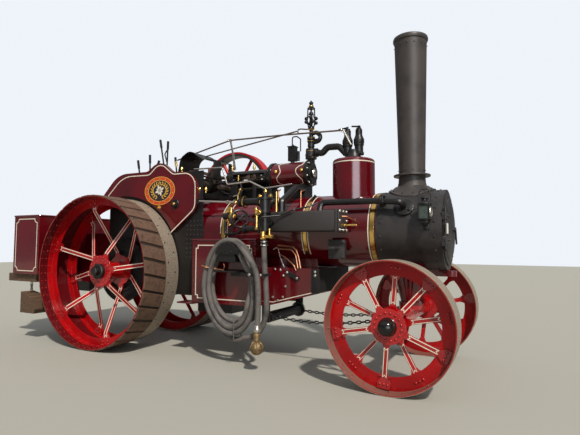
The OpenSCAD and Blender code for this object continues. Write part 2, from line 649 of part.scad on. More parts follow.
heater_x = 2445;
heater_l = 690;
heater_z = 1572;
heater_y = -600;
module feed_heater() color("dimgray") engine() {
    difference() {
        block([heater_x, heater_x + heater_l], [heater_y - 116, heater_y + 116], [heater_z - 134, heater_z + 134]);
        for (y = [-116, 116]) for (z = [-134, 134]) translate([0, heater_y + y, heater_z + z])
            rotate([45, 0, 0]) translate([heater_x - deep, -22, -22]) cube([heater_l + 2 * deep, 44, 44]);
    }
    block([heater_x + heater_l - 30, heater_x + heater_l], [heater_y - 124, heater_y + 124],
        [heater_z - 142, heater_z + 142]);
    block([heater_x + heater_l, heater_x + heater_l + 22], [heater_y - 122, heater_y + 122],
        [heater_z - 140, heater_z + 140]);
    // Brackets to the boiler
    for (x = [heater_x + 80, heater_x + heater_l - 160]) difference() {
        block([x, x + 60], [heater_y + 110, -300], [heater_z - 60, heater_z + 20]);
        along_x(x - deep, 0, boiler_z) cylinder(r = clad_r + seat_gap, h = 70);
    }
    block([heater_x + heater_l - 120, heater_x + heater_l - 40], [heater_y - 60, heater_y + 60],
        [heater_z - 250, heater_z - 134]);
}

pump_x = 2442;
pump_y = -770;
// Column that the hose hangs from: columns: foot height, radius, length
pump_parts = [[1345 + seat_gap, 44, 22], [1366, 34, 30], [1395, 26, 100], [1490, 48, 210], [1690, 66, 24],
    [1710, 58, 130], [1838, 70, 24], [1860, 38, 44]];
module feed_pump() color("dimgray") engine() {
    for (g = pump_parts) translate([pump_x, pump_y, g[0]]) cylinder(r = g[1], h = g[2]);
    along_x(pump_x, pump_y, 1432) cylinder(r = 22, h = 120);
    along_y(pump_x + 50, pump_y + 10, 1590) cylinder(r = 30, h = heater_y - 116 - pump_y - 10 - seat_gap);
    // Delivery valve chest behind the column
    block([2330, 2440], [-740, -660], [1470, 1700]);
    along_x(2120, -690, 1525) cylinder(r = 52, h = 26);
    along_x(2120, -690, 1525) cylinder(r = 34, h = 230);
    // Pump barrel beside the boiler
    along_x(1930, pump_rod_y, pump_rod_z) cylinder(r = 42, h = 320);
    along_x(1930, pump_rod_y, pump_rod_z) cylinder(r = 56, h = 24);
    along_x(2200, pump_rod_y, pump_rod_z) cylinder(r = 60, h = 60);
    along_y(2230, pump_rod_y, pump_rod_z) cylinder(r = 30, h = 180);
    pipe([[2250, pump_rod_y, 1850], [pump_x, pump_rod_y, 1850], [pump_x, pump_y + 40, 1780]], 30, 60, 12, [0, 0, 1]);
    difference() {
        block([2180, 2280], [-470, -240], [1790, 1890]);
        along_x(2170, 0, boiler_z) cylinder(r = clad_r + seat_gap, h = 200);
    }
}

valve_x = firebox_front_x + 130;
valve_z = 1680;
module feed_pipes() color("peru") engine() {
    pipe([[heater_x + heater_l + 22, -600, 1560], [heater_x + heater_l + 120, -600, 1560],
        [heater_x + heater_l + 120, -438, 1500]], 14, 30);
    // Check valve with its body and spindle in front of the firebox, and the pipe down from it
    difference() {
        along_y(valve_x, -520, valve_z) cylinder(r = 34, h = 200);
        along_x(valve_x - 60, 0, boiler_z) cylinder(r = clad_r + seat_gap, h = 120);
    }
    along_x(valve_x - 90, -520, valve_z + 10) cylinder(r = 36, h = 170);
    translate([valve_x, -520, valve_z - 30]) cylinder(r = 40, h = 80);
    pipe([[valve_x - 70, -520, valve_z], [valve_x - 70, -520, 1465], [1960, -560, 1480], [2110, -690, 1520]], 14, 40);
}

// Tanks

module side_tanks() color("maroon") engine() {
    both_sides() {
        block([tank_x, tank_x + tank_l], [horn_face_y + seat_gap, tank_face_y], [tank_z, tank_top_z]);
        block([tank_x, tank_x + tank_l], [tank_face_y, tank_face_y + 6], [tank_z, tank_z + 20]);
    }
    // Step at the foot of the tanks
    both_sides() block([tank_x - 180, tank_x + 60], [horn_face_y + 60, tank_face_y + 60], [tank_z - 16, tank_z]);
}

belly_x = firebox_front_x + 12;
belly_end_x = 2950;
belly_z = 650;
belly_top_z = 1085;
module belly_tank() color("maroon") engine() {
    difference() {
        union() {
            plate_xz(-horn_face_y, 2 * horn_face_y)
                polygon([[belly_x, belly_z], [2330, belly_z], [belly_end_x, belly_z + 165],
                    [belly_end_x, belly_top_z], [belly_x, belly_top_z]]);
            // Cradle under the barrel
            block([belly_x + 100, belly_end_x - 100], [-270, 270], [belly_top_z - deep, boiler_z - 200]);
        }
        along_x(firebox_front_x - 10, 0, boiler_z) cylinder(r = clad_r + seat_gap, h = 1300);
        along_x(band_table[1][0] - 2, 0, boiler_z) cylinder(r = clad_r + 5 + seat_gap, h = band_table[1][1] + 4);
    }
}

module ashpan() color("dimgray") engine() {
    block([firebox_back_x + 40, firebox_front_x - 40], [-220, 220], [470, 700 - seat_gap]);
}

// Drum on the tank that carries the coiled hose, with its foot, the flange before the hose and a shelf below
saddle_front_y = coil_y - coil_depth - 2;
module hose_saddle() color("dimgray") engine() {
    saddle_part(saddle_x, -tank_face_y - seat_gap, saddle_front_y, saddle_r, saddle_z, saddle_z - 20);
    saddle_part(saddle_x + 12, saddle_front_y + deep, saddle_front_y - 14, 164, 1204, 1236);
    saddle_part(saddle_x, -tank_face_y - seat_gap, -tank_face_y - 18, 205, 1100, 1140);
    block([1795, 2150], [-tank_face_y - 40, -tank_face_y - seat_gap], [1040, 1050]);
    block([1930, 2150], [-tank_face_y - 10, -tank_face_y - seat_gap], [985, 1045]);
}
// Slice of a round, cut off level below foot_z
module saddle_part(x, y0, y1, r, z, foot_z) {
    difference() {
        along_y(x, y1, z) cylinder(r = r, h = y0 - y1);
        block([x - 300, x + 300], [y1 - deep, y0 + deep], [z - r - deep, foot_z]);
    }
}

// Egg shaped outline of the coiled hose, leaning forward towards its foot, where its strands spread
function coil_outline(inset, foot) = [for (i = [0 : 71])
    let (a = 5 * i, z = (coil_b - (a > 180 ? foot : inset)) * sin(a))
    [coil_x + (coil_a - inset) * cos(a) - coil_lean * min(z, 0) / coil_b, coil_z + z]];
module suction_coil() color("gray") engine() {
    difference() {
        plate_xz(coil_y - coil_depth, coil_depth) polygon(coil_outline(0, 0));
        plate_xz(coil_y - coil_depth - deep, coil_depth + 2 * deep) polygon(coil_outline(coil_ring, coil_foot));
    }
}

module hose_drop() color("gray") engine() swept_tube(drop_route, hose_d);
module hose_end() color("gray") engine() swept_tube(end_route, hose_d);

// Coupling and rose at the end of the hose: columns: top below the hose, radius, length
strainer_parts = [[seat_gap, 38, 30], [30, 30, 30], [60, 44, 10], [70, 26, 18], [88, 14, 70], [226, 12, 24]];
module hose_strainer() color("gold") engine() translate(hose_foot) {
    for (g = strainer_parts) translate([0, 0, -g[0] - g[2]]) cylinder(r = g[1], h = g[2] + (g[0] > 1 ? deep / 2 : 0));
    translate([0, 0, -185]) sphere(r = 50, $fn = 48);
}

// Tender

tender_x = -tail_tank_x + tail_tank_l;
tender_front_x = firebox_back_x - 60;
module tender() color("maroon") engine() {
    difference() {
        block([tender_x + seat_gap, tender_front_x], [-horn_y + seat_gap, horn_y - seat_gap], [790, 1500]);
        block([tender_x + plate_t, tender_front_x + deep], [-horn_y + plate_t, horn_y - plate_t], [790 + plate_t, 1501]);
        along_y(0, -600, rear_z) cylinder(r = rear_axle_r + 12, h = 1200);
        // Slot in the floor that the steering column passes through
        block([480, 640], [column_foot[1] - 30, column_foot[1] + 30], [780, 810]);
    }
}

module tail_tank() color("maroon") engine() {
    difference() {
        block([-tail_tank_x, -tail_tank_x + tail_tank_l], [-tail_tank_y, tail_tank_y],
            [tail_tank_z, tail_tank_top_z]);
        block([-tail_tank_x + 20, -tail_tank_x + tail_tank_l - 20], [-tail_tank_y + 20, tail_tank_y - 20],
            [tail_tank_top_z - 120, tail_tank_top_z + deep]);
    }
}

module tail_timbers() color("sienna") engine() {
    for (i = [0 : 2]) block([-tail_reach + 213 * i, -tail_reach + 213 * i + 205], [-1000, 1000],
        [810, tail_tank_z - seat_gap]);
}

module drawbar() color("dimgray") engine() {
    difference() {
        union() {
            for (z = [600, 700]) block([-tail_reach + 20, -tail_reach + 560], [-70, 70], [z, z + 30]);
            block([-tail_reach + 260, -tail_reach + 560], [-70, 70], [600, 810 - seat_gap]);
        }
        translate([-tail_reach + 80, 0, 580]) cylinder(r = 22, h = 180);
    }
}

module wheel_chock() color("sienna") engine() {
    translate([0, -855, 0]) rotate([90, 0, 0])
        linear_extrude(190) polygon([[-1395, 380], [-1090, 380], [-1060, 440], [-1240, 640], [-1395, 670]]);
    for (i = [0 : 2]) translate([-1300, -950, 650 + 40 * i]) rotate([0, 0, 90 * (i % 2)]) chain_link(80, 40, 6);
}

// One oval link standing on end: its wire is a loop of short straight lengths
link_turn = 12;
link_sides = 5;
function link_point(l, w, r, k) = let (a = 360 * (k + 0.5) / link_turn, h = (l - w) / 2)
    [0, (w / 2 - r) * cos(a), l / 2 + h * sign(sin(a)) + (w / 2 - r) * sin(a)];
module chain_link(l, w, r) {
    pts = [for (k = [0 : link_turn - 1]) let (p = link_point(l, w, r, k), h = (l - w) / 2,
            c = [0, 0, l / 2 + h * sign(p[2] - l / 2)], s = unit(p - c))
        for (m = [0 : link_sides - 1]) p + r * (s * cos(360 * m / link_sides) + [1, 0, 0] * sin(360 * m / link_sides))];
    polyhedron(pts, [for (k = [0 : link_turn - 1]) for (m = [0 : link_sides - 1])
        let (k2 = (k + 1) % link_turn, m2 = (m + 1) % link_sides)
        [k * link_sides + m, k * link_sides + m2, k2 * link_sides + m2, k2 * link_sides + m]]);
}

// Front end and steering

module perch_bracket() color("maroon") engine() {
    difference() {
        union() {
            block([front_axle_x - 210, front_axle_x + 210], [-250, 250],
                [boiler_z - smokebox_r - 10, boiler_z - 300]);
            translate([front_axle_x, 0, front_r + axle_h / 2 + 42]) cylinder(r = 120, h = 30);
            translate([front_axle_x, 0, front_r + axle_h / 2 + 70]) cylinder(r1 = 95, r2 = 190, h = 360);
        }
        along_x(front_axle_x - 500, 0, boiler_z) cylinder(r = smokebox_r + seat_gap, h = 1000);
        translate([front_axle_x, 0, 0]) cylinder(r = kingpin_r + run_gap, h = 860);
    }
    // Towing eye in front
    translate([front_axle_x + 430, 0, 1050]) difference() {
        union() {
            block([-300, 0], [-40, 40], [-30, 30]);
            cylinder(r = 55, h = 60, center = true);
        }
        cylinder(r = 25, h = 100, center = true);
    }
}

module front_axle() color("firebrick") engine() translate([front_axle_x, 0, front_r]) {
    block([-55, 55], [-axle_half, axle_half], [-axle_h / 2, axle_h / 2]);
    translate([0, 0, axle_h / 2 - 5]) cylinder(r = 118, h = 47 - seat_gap);
    cylinder(r = kingpin_r, h = 860 - front_r - 6);
    both_sides() {
        along_y(0, axle_half - 5, 0)
            cylinder(r = stub_r, h = front_face_y - front_w + front_disc_z + 86 - axle_half + 5);
        block([-100, -50], [chain_y - 30, chain_y + 30], [-45, 15]);
    }
}

module steering_gear() color("dimgray") engine() {
    along_y(roller_x, -460, roller_z) cylinder(r = 28, h = 920);
    along_y(roller_x, -400, roller_z) cylinder(r = roller_r, h = 778);
    along_y(roller_x, 384, roller_z) gear(worm_wheel_r, 40, 28);
    for (y = [-450, 428]) difference() {
        block([roller_x - 50, roller_x + 50], [y, y + 22], [roller_z - 50, belly_z - seat_gap]);
        along_y(roller_x, y - deep, roller_z) cylinder(r = 28 - deep, h = 40);
    }
}

// Slack chains between the roller and the axle, drawn as links that hang in one another
chain_start = roller_x + roller_r + 2 * chain_wire;
chain_end = front_axle_x - 100 - 2 * chain_wire;
function chain_at(u) = [chain_start + u * (chain_end - chain_start), chain_y,
    roller_z + u * (front_r - roller_z - 15) - chain_sag * 4 * u * (1 - u)];
module steering_chains() color("dimgray") engine() {
    both_sides() for (i = [0 : chain_links - 1]) {
        a = chain_at(i / chain_links);
        b = chain_at((i + 1) / chain_links);
        translate(a) rotate([0, acos((b - a)[2] / norm(b - a)), 0]) rotate([0, 0, 90 * (i % 2)])
            translate([0, 0, -2 * chain_wire + seat_gap])
                chain_link(norm(b - a) + 4 * chain_wire - 2 * seat_gap, 46, chain_wire);
    }
}

module steering_column() color("dimgray") engine() {
    rod(column_head, column_foot, 16);
    translate(column_foot) sphere(r = 30, $fn = 32);
    rod(column_foot, [roller_x, 404, roller_z + worm_wheel_r + 24], 14);
    translate(column_head) rotate([0, -43.7, 0]) {
        rotate_extrude() translate([200, 0]) circle(r = 14, $fn = 32);
        cylinder(r = 36, h = 40, center = true);
        for (a = [0 : 90 : 270]) rotate(a + 45) rotate([0, 90, 0]) cylinder(r = 9, h = 198);
    }
}

module lanterns() color("dimgray") engine() {
    both_sides() difference() {
        translate([4080, 490, 1560]) {
            block([-50, 50], [-50, 50], [0, 110]);
            cylinder(r = 58, h = 10);
            translate([0, 0, 110]) cylinder(r1 = 62, r2 = 24, h = 50);
            translate([0, 0, 160]) cylinder(r = 22, h = 24);
            block([-14, 14], [-95, -45], [0, 60]);
        }
        along_x(4000, 0, boiler_z) cylinder(r = smokebox_r + seat_gap, h = 200);
    }
}

// Wheels: each is drawn with its axis upright, z from its inner face outwards

// Spoke with a foot at both ends, bent so that it leads from the plane z0 to the plane z1
module spoke(r0, r1, z0, z1, w, root, foot, t) {
    a = root[1];
    b = r1 - foot[1];
    low = min(z0, z1);
    half = [[r0, 0.4 * root[0]], [a - 60, root[0] / 2], [a, w / 2], [b, w / 2], [r1 - foot[1] / 2, foot[0] / 2],
        [r1, foot[0] / 2]];
    intersection() {
        translate([0, foot[0], 0]) rotate([90, 0, 0]) linear_extrude(2 * foot[0])
            polygon([[r0, z0], [a, z0], [b, z1], [r1, z1], [r1, z1 + t], [b, z1 + t], [a, z0 + t], [r0, z0 + t]]);
        translate([0, 0, low - deep]) linear_extrude(abs(z1 - z0) + t + 2 * deep)
            polygon(concat(half, [for (i = [len(half) - 1 : -1 : 0]) [half[i][0], -half[i][1]]]));
    }
}

module rear_rim() {
    ring(rear_rim_r, rear_rim_r - rear_rim_t, rear_rim_w);
    for (z = [rear_outer_web, rear_inner_web]) translate([0, 0, z]) {
        ring(rear_rim_r - rear_rim_t + 1, rear_rim_r - rear_rim_t - rear_web_depth, web_t);
        translate([0, 0, web_t / 2 - 70]) ring(rear_rim_r - rear_rim_t + 1, rear_rim_r - rear_rim_t - 12, 140);
    }
}

// Strakes: a band round the rim, cut through by the gaps between the plates
module rear_strakes() translate([0, 0, rear_rim_w - strake_w]) difference() {
    cylinder(r = rear_rim_r + strake_t, h = strake_w, $fn = 120);
    translate([0, 0, -deep]) cylinder(r = rear_rim_r + run_gap, h = strake_w + 2 * deep, $fn = 120);
    for (i = [0 : strake_count - 1]) rotate(360 / strake_count * i)
        translate([rear_rim_r - 20, -strake_gap / 2, -deep]) cube([strake_t + 40, strake_gap, strake_w + 2 * deep]);
}

// Width at the end and length of the feet of a rear spoke, at the hub and at the rim
rear_root = [104, rear_flange_r + 45];
rear_foot = [150, 150];
module rear_spokes() {
    r_end = sqrt(pow(rear_rim_r - rear_rim_t - 12 - seat_gap, 2) - pow(rear_foot[0] / 2, 2));
    for (i = [0 : rear_spokes - 1]) {
        rotate(360 / rear_spokes * (i - 0.147)) spoke(rear_hub_r - 14, r_end, rear_flange_z - flange_t - web_t + 1,
            rear_inner_web + web_t, rear_spoke_w, rear_root, rear_foot, web_t);
        rotate(360 / rear_spokes * (i + 0.34)) spoke(rear_hub_r - 14, r_end, rear_inner_web - web_t - 1,
            rear_outer_web - web_t, rear_spoke_w, rear_root, rear_foot, web_t);
    }
    difference() {
        union() {
            translate([0, 0, 40]) cylinder(r = rear_hub_r, h = rear_flange_z - 40);
            translate([0, 0, rear_flange_z - flange_t]) cylinder(r = rear_flange_r, h = flange_t);
            translate([0, 0, rear_inner_web - web_t - flange_t]) cylinder(r = rear_flange_r, h = flange_t);
        }
        translate([0, 0, -deep]) cylinder(r = rear_axle_r + run_gap, h = rear_rim_w);
    }
}

module rear_cap() {
    base = rear_flange_z + seat_gap;
    difference() {
        union() {
            translate([0, 0, base]) cylinder(r = rear_cap_r, h = 42);
            translate([0, 0, base + 42]) cylinder(r1 = rear_cap_r, r2 = rear_cap_r - 14, h = 12);
            translate([0, 0, base + 53]) cylinder(r = rear_boss_r, h = rear_cap_end - base - 61);
            translate([0, 0, rear_cap_end - 8]) cylinder(r1 = rear_boss_r, r2 = rear_boss_r - 8, h = 8);
        }
        translate([0, 0, base - deep]) cylinder(r = rear_axle_r + run_gap, h = 31);
    }
}

module front_rim() {
    ring(front_r, front_r - front_rim_t, front_w);
    translate([0, 0, front_mid - web_t / 2])
        ring(front_r - front_rim_t + 1, front_r - front_rim_t - front_web_depth, web_t);
}

front_root = [92, front_flange_r + 35];
front_foot = [120, 110];
front_inner_disc_z = front_disc_z - front_disc_span;
module front_spokes() {
    r_end = sqrt(pow(front_r - front_rim_t - seat_gap, 2) - pow(front_foot[0] / 2, 2)) - 12;
    for (i = [0 : front_spokes - 1]) {
        rotate(360 / front_spokes * (i + 0.336)) spoke(front_hub_r - 14, r_end, front_disc_z - 15 - web_t,
            front_mid + web_t / 2, front_spoke_w, front_root, front_foot, web_t);
        rotate(360 / front_spokes * (i + 0.837)) spoke(front_hub_r - 14, r_end, front_inner_disc_z + 15,
            front_mid - 1.5 * web_t, front_spoke_w, front_root, front_foot, web_t);
    }
    difference() {
        union() {
            translate([0, 0, front_hub_back]) cylinder(r = front_hub_r, h = front_disc_z + 6 - front_hub_back);
            translate([0, 0, front_disc_z - 16]) cylinder(r = front_flange_r, h = 16);
            translate([0, 0, front_inner_disc_z]) cylinder(r = front_flange_r, h = 16);
        }
        translate([0, 0, front_hub_back - deep]) cylinder(r = stub_r + run_gap, h = front_w + 60);
    }
}

module front_cap() {
    base = front_disc_z + 6 + seat_gap;
    difference() {
        union() {
            translate([0, 0, base]) cylinder(r = front_cap_r, h = 92);
            translate([0, 0, base + 92]) cylinder(r1 = front_cap_r, r2 = front_cap_r - 16, h = 14);
            translate([0, 0, base + 105]) cylinder(r = front_cap_r - 34, h = front_cap_end - base - 105);
        }
        translate([0, 0, base - deep]) cylinder(r = stub_r + run_gap, h = 86);
    }
}

module at_rear(side) engine() mirror([0, side < 0 ? 1 : 0, 0])
    along_y(0, rear_face_y - rear_rim_w, rear_z) children();
module at_front(side) engine() mirror([0, side < 0 ? 1 : 0, 0])
    along_y(front_axle_x, front_face_y - front_w, front_r) children();

module rear_axle() color("dimgray") engine() {
    reach = rear_face_y - rear_rim_w + rear_flange_z + 26;
    along_y(0, -reach, rear_z) cylinder(r = rear_axle_r, h = 2 * reach);
}

module rear_rim_left() color("red") at_rear(1) rear_rim();
module rear_rim_right() color("red") at_rear(-1) rear_rim();
module rear_strakes_left() color("sienna") at_rear(1) rear_strakes();
module rear_strakes_right() color("sienna") at_rear(-1) rear_strakes();
module rear_spokes_left() color("red") at_rear(1) rear_spokes();
module rear_spokes_right() color("red") at_rear(-1) rear_spokes();
module rear_cap_left() color("dimgray") at_rear(1) rear_cap();
module rear_cap_right() color("dimgray") at_rear(-1) rear_cap();
module front_rim_left() color("red") at_front(1) front_rim();
module front_rim_right() color("red") at_front(-1) front_rim();
module front_spokes_left() color("red") at_front(1) front_spokes();
module front_spokes_right() color("red") at_front(-1) front_spokes();
module front_cap_left() color("dimgray") at_front(1) front_cap();
module front_cap_right() color("dimgray") at_front(-1) front_cap();

boiler_barrel();
firebox();
boiler_bands();
smokebox();
smokebox_door();
chimney();
steam_dome();
safety_valves();
steam_pipes();
cylinder_lagging();
cylinder_castings();
trunk_guide();
motion_rods();
crankshaft();
flywheel();
hornplates();
gear_cover();
second_shaft();
crank_guard();
governor();
control_rods();
levers();
feed_heater();
feed_pump();
feed_pipes();
side_tanks();
belly_tank();
ashpan();
hose_saddle();
suction_coil();
hose_drop();
hose_end();
hose_strainer();
tender();
tail_tank();
tail_timbers();
drawbar();
wheel_chock();
perch_bracket();
front_axle();
steering_gear();
steering_chains();
steering_column();
lanterns();
rear_axle();
rear_rim_left();
rear_rim_right();
rear_strakes_left();
rear_strakes_right();
rear_spokes_left();
rear_spokes_right();
rear_cap_left();
rear_cap_right();
front_rim_left();
front_rim_right();
front_spokes_left();
front_spokes_right();
front_cap_left();
front_cap_right();
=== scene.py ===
import json
import math

import bpy
import numpy as np
from mathutils import Matrix, Vector

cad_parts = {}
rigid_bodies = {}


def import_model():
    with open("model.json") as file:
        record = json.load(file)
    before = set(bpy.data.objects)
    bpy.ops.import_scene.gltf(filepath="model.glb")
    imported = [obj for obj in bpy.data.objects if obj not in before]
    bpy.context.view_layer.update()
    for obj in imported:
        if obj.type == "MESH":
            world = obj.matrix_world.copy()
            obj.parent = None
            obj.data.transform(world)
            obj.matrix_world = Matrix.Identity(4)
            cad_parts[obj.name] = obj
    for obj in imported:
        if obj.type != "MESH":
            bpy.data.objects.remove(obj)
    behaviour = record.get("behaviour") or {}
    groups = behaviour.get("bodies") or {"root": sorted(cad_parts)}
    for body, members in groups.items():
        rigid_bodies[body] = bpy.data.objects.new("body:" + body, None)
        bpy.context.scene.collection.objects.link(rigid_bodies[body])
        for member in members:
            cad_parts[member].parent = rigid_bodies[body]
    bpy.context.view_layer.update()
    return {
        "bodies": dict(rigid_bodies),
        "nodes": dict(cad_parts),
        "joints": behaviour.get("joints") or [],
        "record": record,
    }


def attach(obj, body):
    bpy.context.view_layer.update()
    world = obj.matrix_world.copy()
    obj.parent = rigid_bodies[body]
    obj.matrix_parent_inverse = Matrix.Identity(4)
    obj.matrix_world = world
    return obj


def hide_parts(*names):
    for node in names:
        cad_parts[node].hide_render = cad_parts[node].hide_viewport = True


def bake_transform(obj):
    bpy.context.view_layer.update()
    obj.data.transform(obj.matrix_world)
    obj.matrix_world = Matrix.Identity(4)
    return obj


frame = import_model()
nodes = frame["nodes"]
scene = bpy.context.scene

# x is forward, y to the driver's left and z up, in metres as in the frame; at() takes millimetres
engine = {
    # x and z of the axles and the crankshaft
    "rearAxle": (-1.3385, 0.99),
    "frontAxle": (2.4915, 0.607),
    "crank": (-0.2185, 2.15),
    "flywheelBand": (0.502, 0.556),  # radii of the dark ring on the flywheel's face
}


def at(x, y, z):  # millimetres forward of the rear axle, left of the middle and above the ground
    return Vector((x / 1000 + engine["rearAxle"][0], y / 1000, z / 1000))


# Camera

photoCamera = {"place": (3.6015, -4.998, 1.344), "azimuth": 27.39, "pitch": 3.49, "roll": 0.25, "lens": 27.93}


def makeCamera():
    turn = Matrix.Rotation(math.radians(photoCamera["azimuth"]), 3, "Z")
    turn = turn @ Matrix.Rotation(math.radians(90 + photoCamera["pitch"]), 3, "X")
    turn = turn @ Matrix.Rotation(math.radians(photoCamera["roll"]), 3, "Z")
    bpy.ops.object.camera_add(location=photoCamera["place"], rotation=turn.to_euler())
    camera = bpy.context.object
    camera.name = "photoCamera"
    camera.data.lens = photoCamera["lens"]
    camera.data.sensor_width = 36
    camera.data.clip_start = 0.05
    camera.data.clip_end = 200
    scene.camera = camera


makeCamera()
print("camera placed")


# Shader maths: a wire is a socket that can stand in sums


class Wire:
    def __init__(self, tree, socket):
        self.tree = tree
        self.socket = socket

    def make(self, kind, settings=(), sockets=(), out=0):
        node = self.tree.nodes.new(kind)
        for key, value in dict(settings).items():
            setattr(node, key, value)
        for key, value in dict(sockets).items():
            if isinstance(value, Wire):
                self.tree.links.new(value.socket, node.inputs[key])
            else:
                node.inputs[key].default_value = value
        return Wire(self.tree, node.outputs[out])

    def maths(self, operation, *values):
        return self.make("ShaderNodeMath", {"operation": operation}, dict(enumerate(values)))

    def __add__(self, other):
        return self.maths("ADD", self, other)

    def __sub__(self, other):
        return self.maths("SUBTRACT", self, other)

    def __rsub__(self, other):
        return self.maths("SUBTRACT", other, self)

    def __mul__(self, other):
        return self.maths("MULTIPLY", self, other)

    def __pow__(self, other):
        return self.maths("POWER", self, other)

    def __abs__(self):
        return self.maths("ABSOLUTE", self)

    __radd__ = __add__
    __rmul__ = __mul__

    def above(self, edge, soft):  # 0 below edge - soft, 1 above edge + soft
        sockets = {"Value": self, "From Min": edge - soft, "From Max": edge + soft}
        return self.make("ShaderNodeMapRange", {"interpolation_type": "SMOOTHSTEP"}, sockets)

    def below(self, edge, soft):
        return 1 - self.above(edge, soft)

    def noise(self, scale, detail=3, rough=0.5, stretch=(1, 1, 1)):
        place = self.make("ShaderNodeVectorMath", {"operation": "MULTIPLY"}, {0: self, 1: stretch})
        sockets = {"Vector": place, "Scale": scale, "Detail": detail, "Roughness": rough}
        return self.make("ShaderNodeTexNoise", (), sockets)

    def blend(self, first, second):  # self is the share of the second colour
        tones = {6: first if isinstance(first, Wire) else (*first, 1),
                 7: second if isinstance(second, Wire) else (*second, 1)}
        return self.make("ShaderNodeMix", {"data_type": "RGBA"}, {0: self, **tones}, out=2)


def material(name, build):
    made = bpy.data.materials.new(name)
    made.use_nodes = True
    tree = made.node_tree
    tree.nodes.clear()
    place = Wire(tree, tree.nodes.new("ShaderNodeTexCoord").outputs["Object"])
    shader = build(place)
    output = tree.nodes.new("ShaderNodeOutputMaterial")
    tree.links.new(shader.socket, output.inputs["Surface"])
    return made


def axis(place, letter):
    return place.make("ShaderNodeSeparateXYZ", (), {0: place}, out="XYZ".index(letter))


def surface(place, colour, rough, metal=0.0, bump=None, height=0.001, edge=0.0, **fixed):
    normal = {}
    if edge:
        normal = {"Normal": place.make("ShaderNodeBevel", {"samples": 4}, {"Radius": edge})}
    if bump is not None:
        sockets = {"Height": bump, "Distance": height, "Strength": 1.0, **normal}
        normal = {"Normal": place.make("ShaderNodeBump", (), sockets)}
    colour = colour if isinstance(colour, Wire) else (*colour, 1)
    sockets = {"Base Color": colour, "Roughness": rough, "Metallic": metal, **normal}
    sockets.update({key.replace("_", " "): value for key, value in fixed.items()})
    return place.make("ShaderNodeBsdfPrincipled", (), sockets)


# Finishes of the engine, in linear colour

tones = {
    "maroon": (0.115, 0.001, 0.005),
    "maroonDeep": (0.068, 0.001, 0.004),
    "wheelRed": (0.42, 0.002, 0.004),
    "wheelRedDeep": (0.26, 0.002, 0.004),
    # a darker red for the rivet heads: painted shade for the shadows round them
    "rivetShadeRed": (0.3, 0.006, 0.006),
    "cream": (0.78, 0.72, 0.58),
    "smokeblack": (0.034, 0.030, 0.029),
    "soot": (0.06, 0.05, 0.045),
    "ironBlack": (0.012, 0.011, 0.011),
    "oil": (0.008, 0.007, 0.006),
    "wornGrey": (0.34, 0.28, 0.22),
    "rust": (0.15, 0.082, 0.052),
    "rustDark": (0.075, 0.042, 0.029),
    "mud": (0.2, 0.15, 0.1),
    "oldBrassDark": (0.16, 0.11, 0.06),
    # inside faces of the rims: a darker red, painted shade, on the rear wheels; a darker brown on the front
    # wheels
    "rimInsideShade": (0.1, 0.004, 0.006),
    "rimInsideBrown": (0.2, 0.1, 0.075),
    # dirt and painted shade for the iron between the strakes
    "strakeGapShadeAndDirt": (0.035, 0.026, 0.02),
    "brass": (0.78, 0.5, 0.14),
    "brassDark": (0.33, 0.19, 0.06),
    "oldBrass": (0.36, 0.25, 0.12),
    "steel": (0.6, 0.56, 0.51),
    "steelDark": (0.3, 0.24, 0.19),
    "oiled": (0.26, 0.21, 0.17),
    "oiledDark": (0.1, 0.07, 0.05),
    "copper": (0.68, 0.3, 0.16),
    "timber": (0.12, 0.065, 0.032),
    "timberDark": (0.05, 0.028, 0.015),
    "hose": (0.125, 0.11, 0.1),
    "hoseDark": (0.05, 0.044, 0.04),
}


def glossPaint(first, second, dust=0.15):
    def build(place):
        cloud = place.noise(2.2, 4)
        colour = cloud.above(0.52, 0.2).blend(tones[first], tones[second])
        low = axis(place, "Z").below(0.55, 0.55) * place.noise(9, 5, 0.65).above(0.52, 0.12)
        colour = (low * dust).blend(colour, tones["mud"])
        rough = 0.16 + low * 0.4 + place.noise(34, 3).above(0.6, 0.2) * 0.06
        return surface(place, colour, rough, bump=place.noise(130, 2), height=0.00025, edge=0.004,
                       Coat_Weight=0.6, Coat_Roughness=0.05, Specular_IOR_Level=0.45)
    return build


def satinBlack(tone, second, rough, bumpScale=160):
    def build(place):
        cloud = place.noise(5, 5, 0.6)
        colour = cloud.above(0.55, 0.16).blend(tones[tone], tones[second])
        streak = place.noise(16, 4, 0.6, (1, 1, 0.18))
        finish = rough + (streak - 0.5) * 0.22
        return surface(place, colour, finish, bump=place.noise(bumpScale, 4, 0.6), height=0.0008, edge=0.004,
                       Specular_IOR_Level=0.4)
    return build


def bareMetal(tone, second, rough, spots=0.6, grain=(1, 1, 1)):
    def build(place):
        stain = place.noise(24, 5, 0.7).above(spots, 0.1)
        colour = stain.blend(tones[tone], tones[second])
        brushed = place.noise(150, 2, 0.5, grain)
        finish = rough + stain * 0.2 + (brushed - 0.5) * 0.14
        return surface(place, colour, finish, 1 - stain * 0.35, brushed, 0.0004, 0.002)
    return build


def creamLine(place):
    colour = place.noise(30, 4).above(0.6, 0.2).blend(tones["cream"], (0.6, 0.53, 0.4))
    return surface(place, colour, 0.35, bump=place.noise(200, 2), height=0.0002)


def reachFrom(place, centre):  # distance from an axis along y
    x = axis(place, "X") - centre[0]
    z = axis(place, "Z") - centre[1]
    return (x * x + z * z) ** 0.5


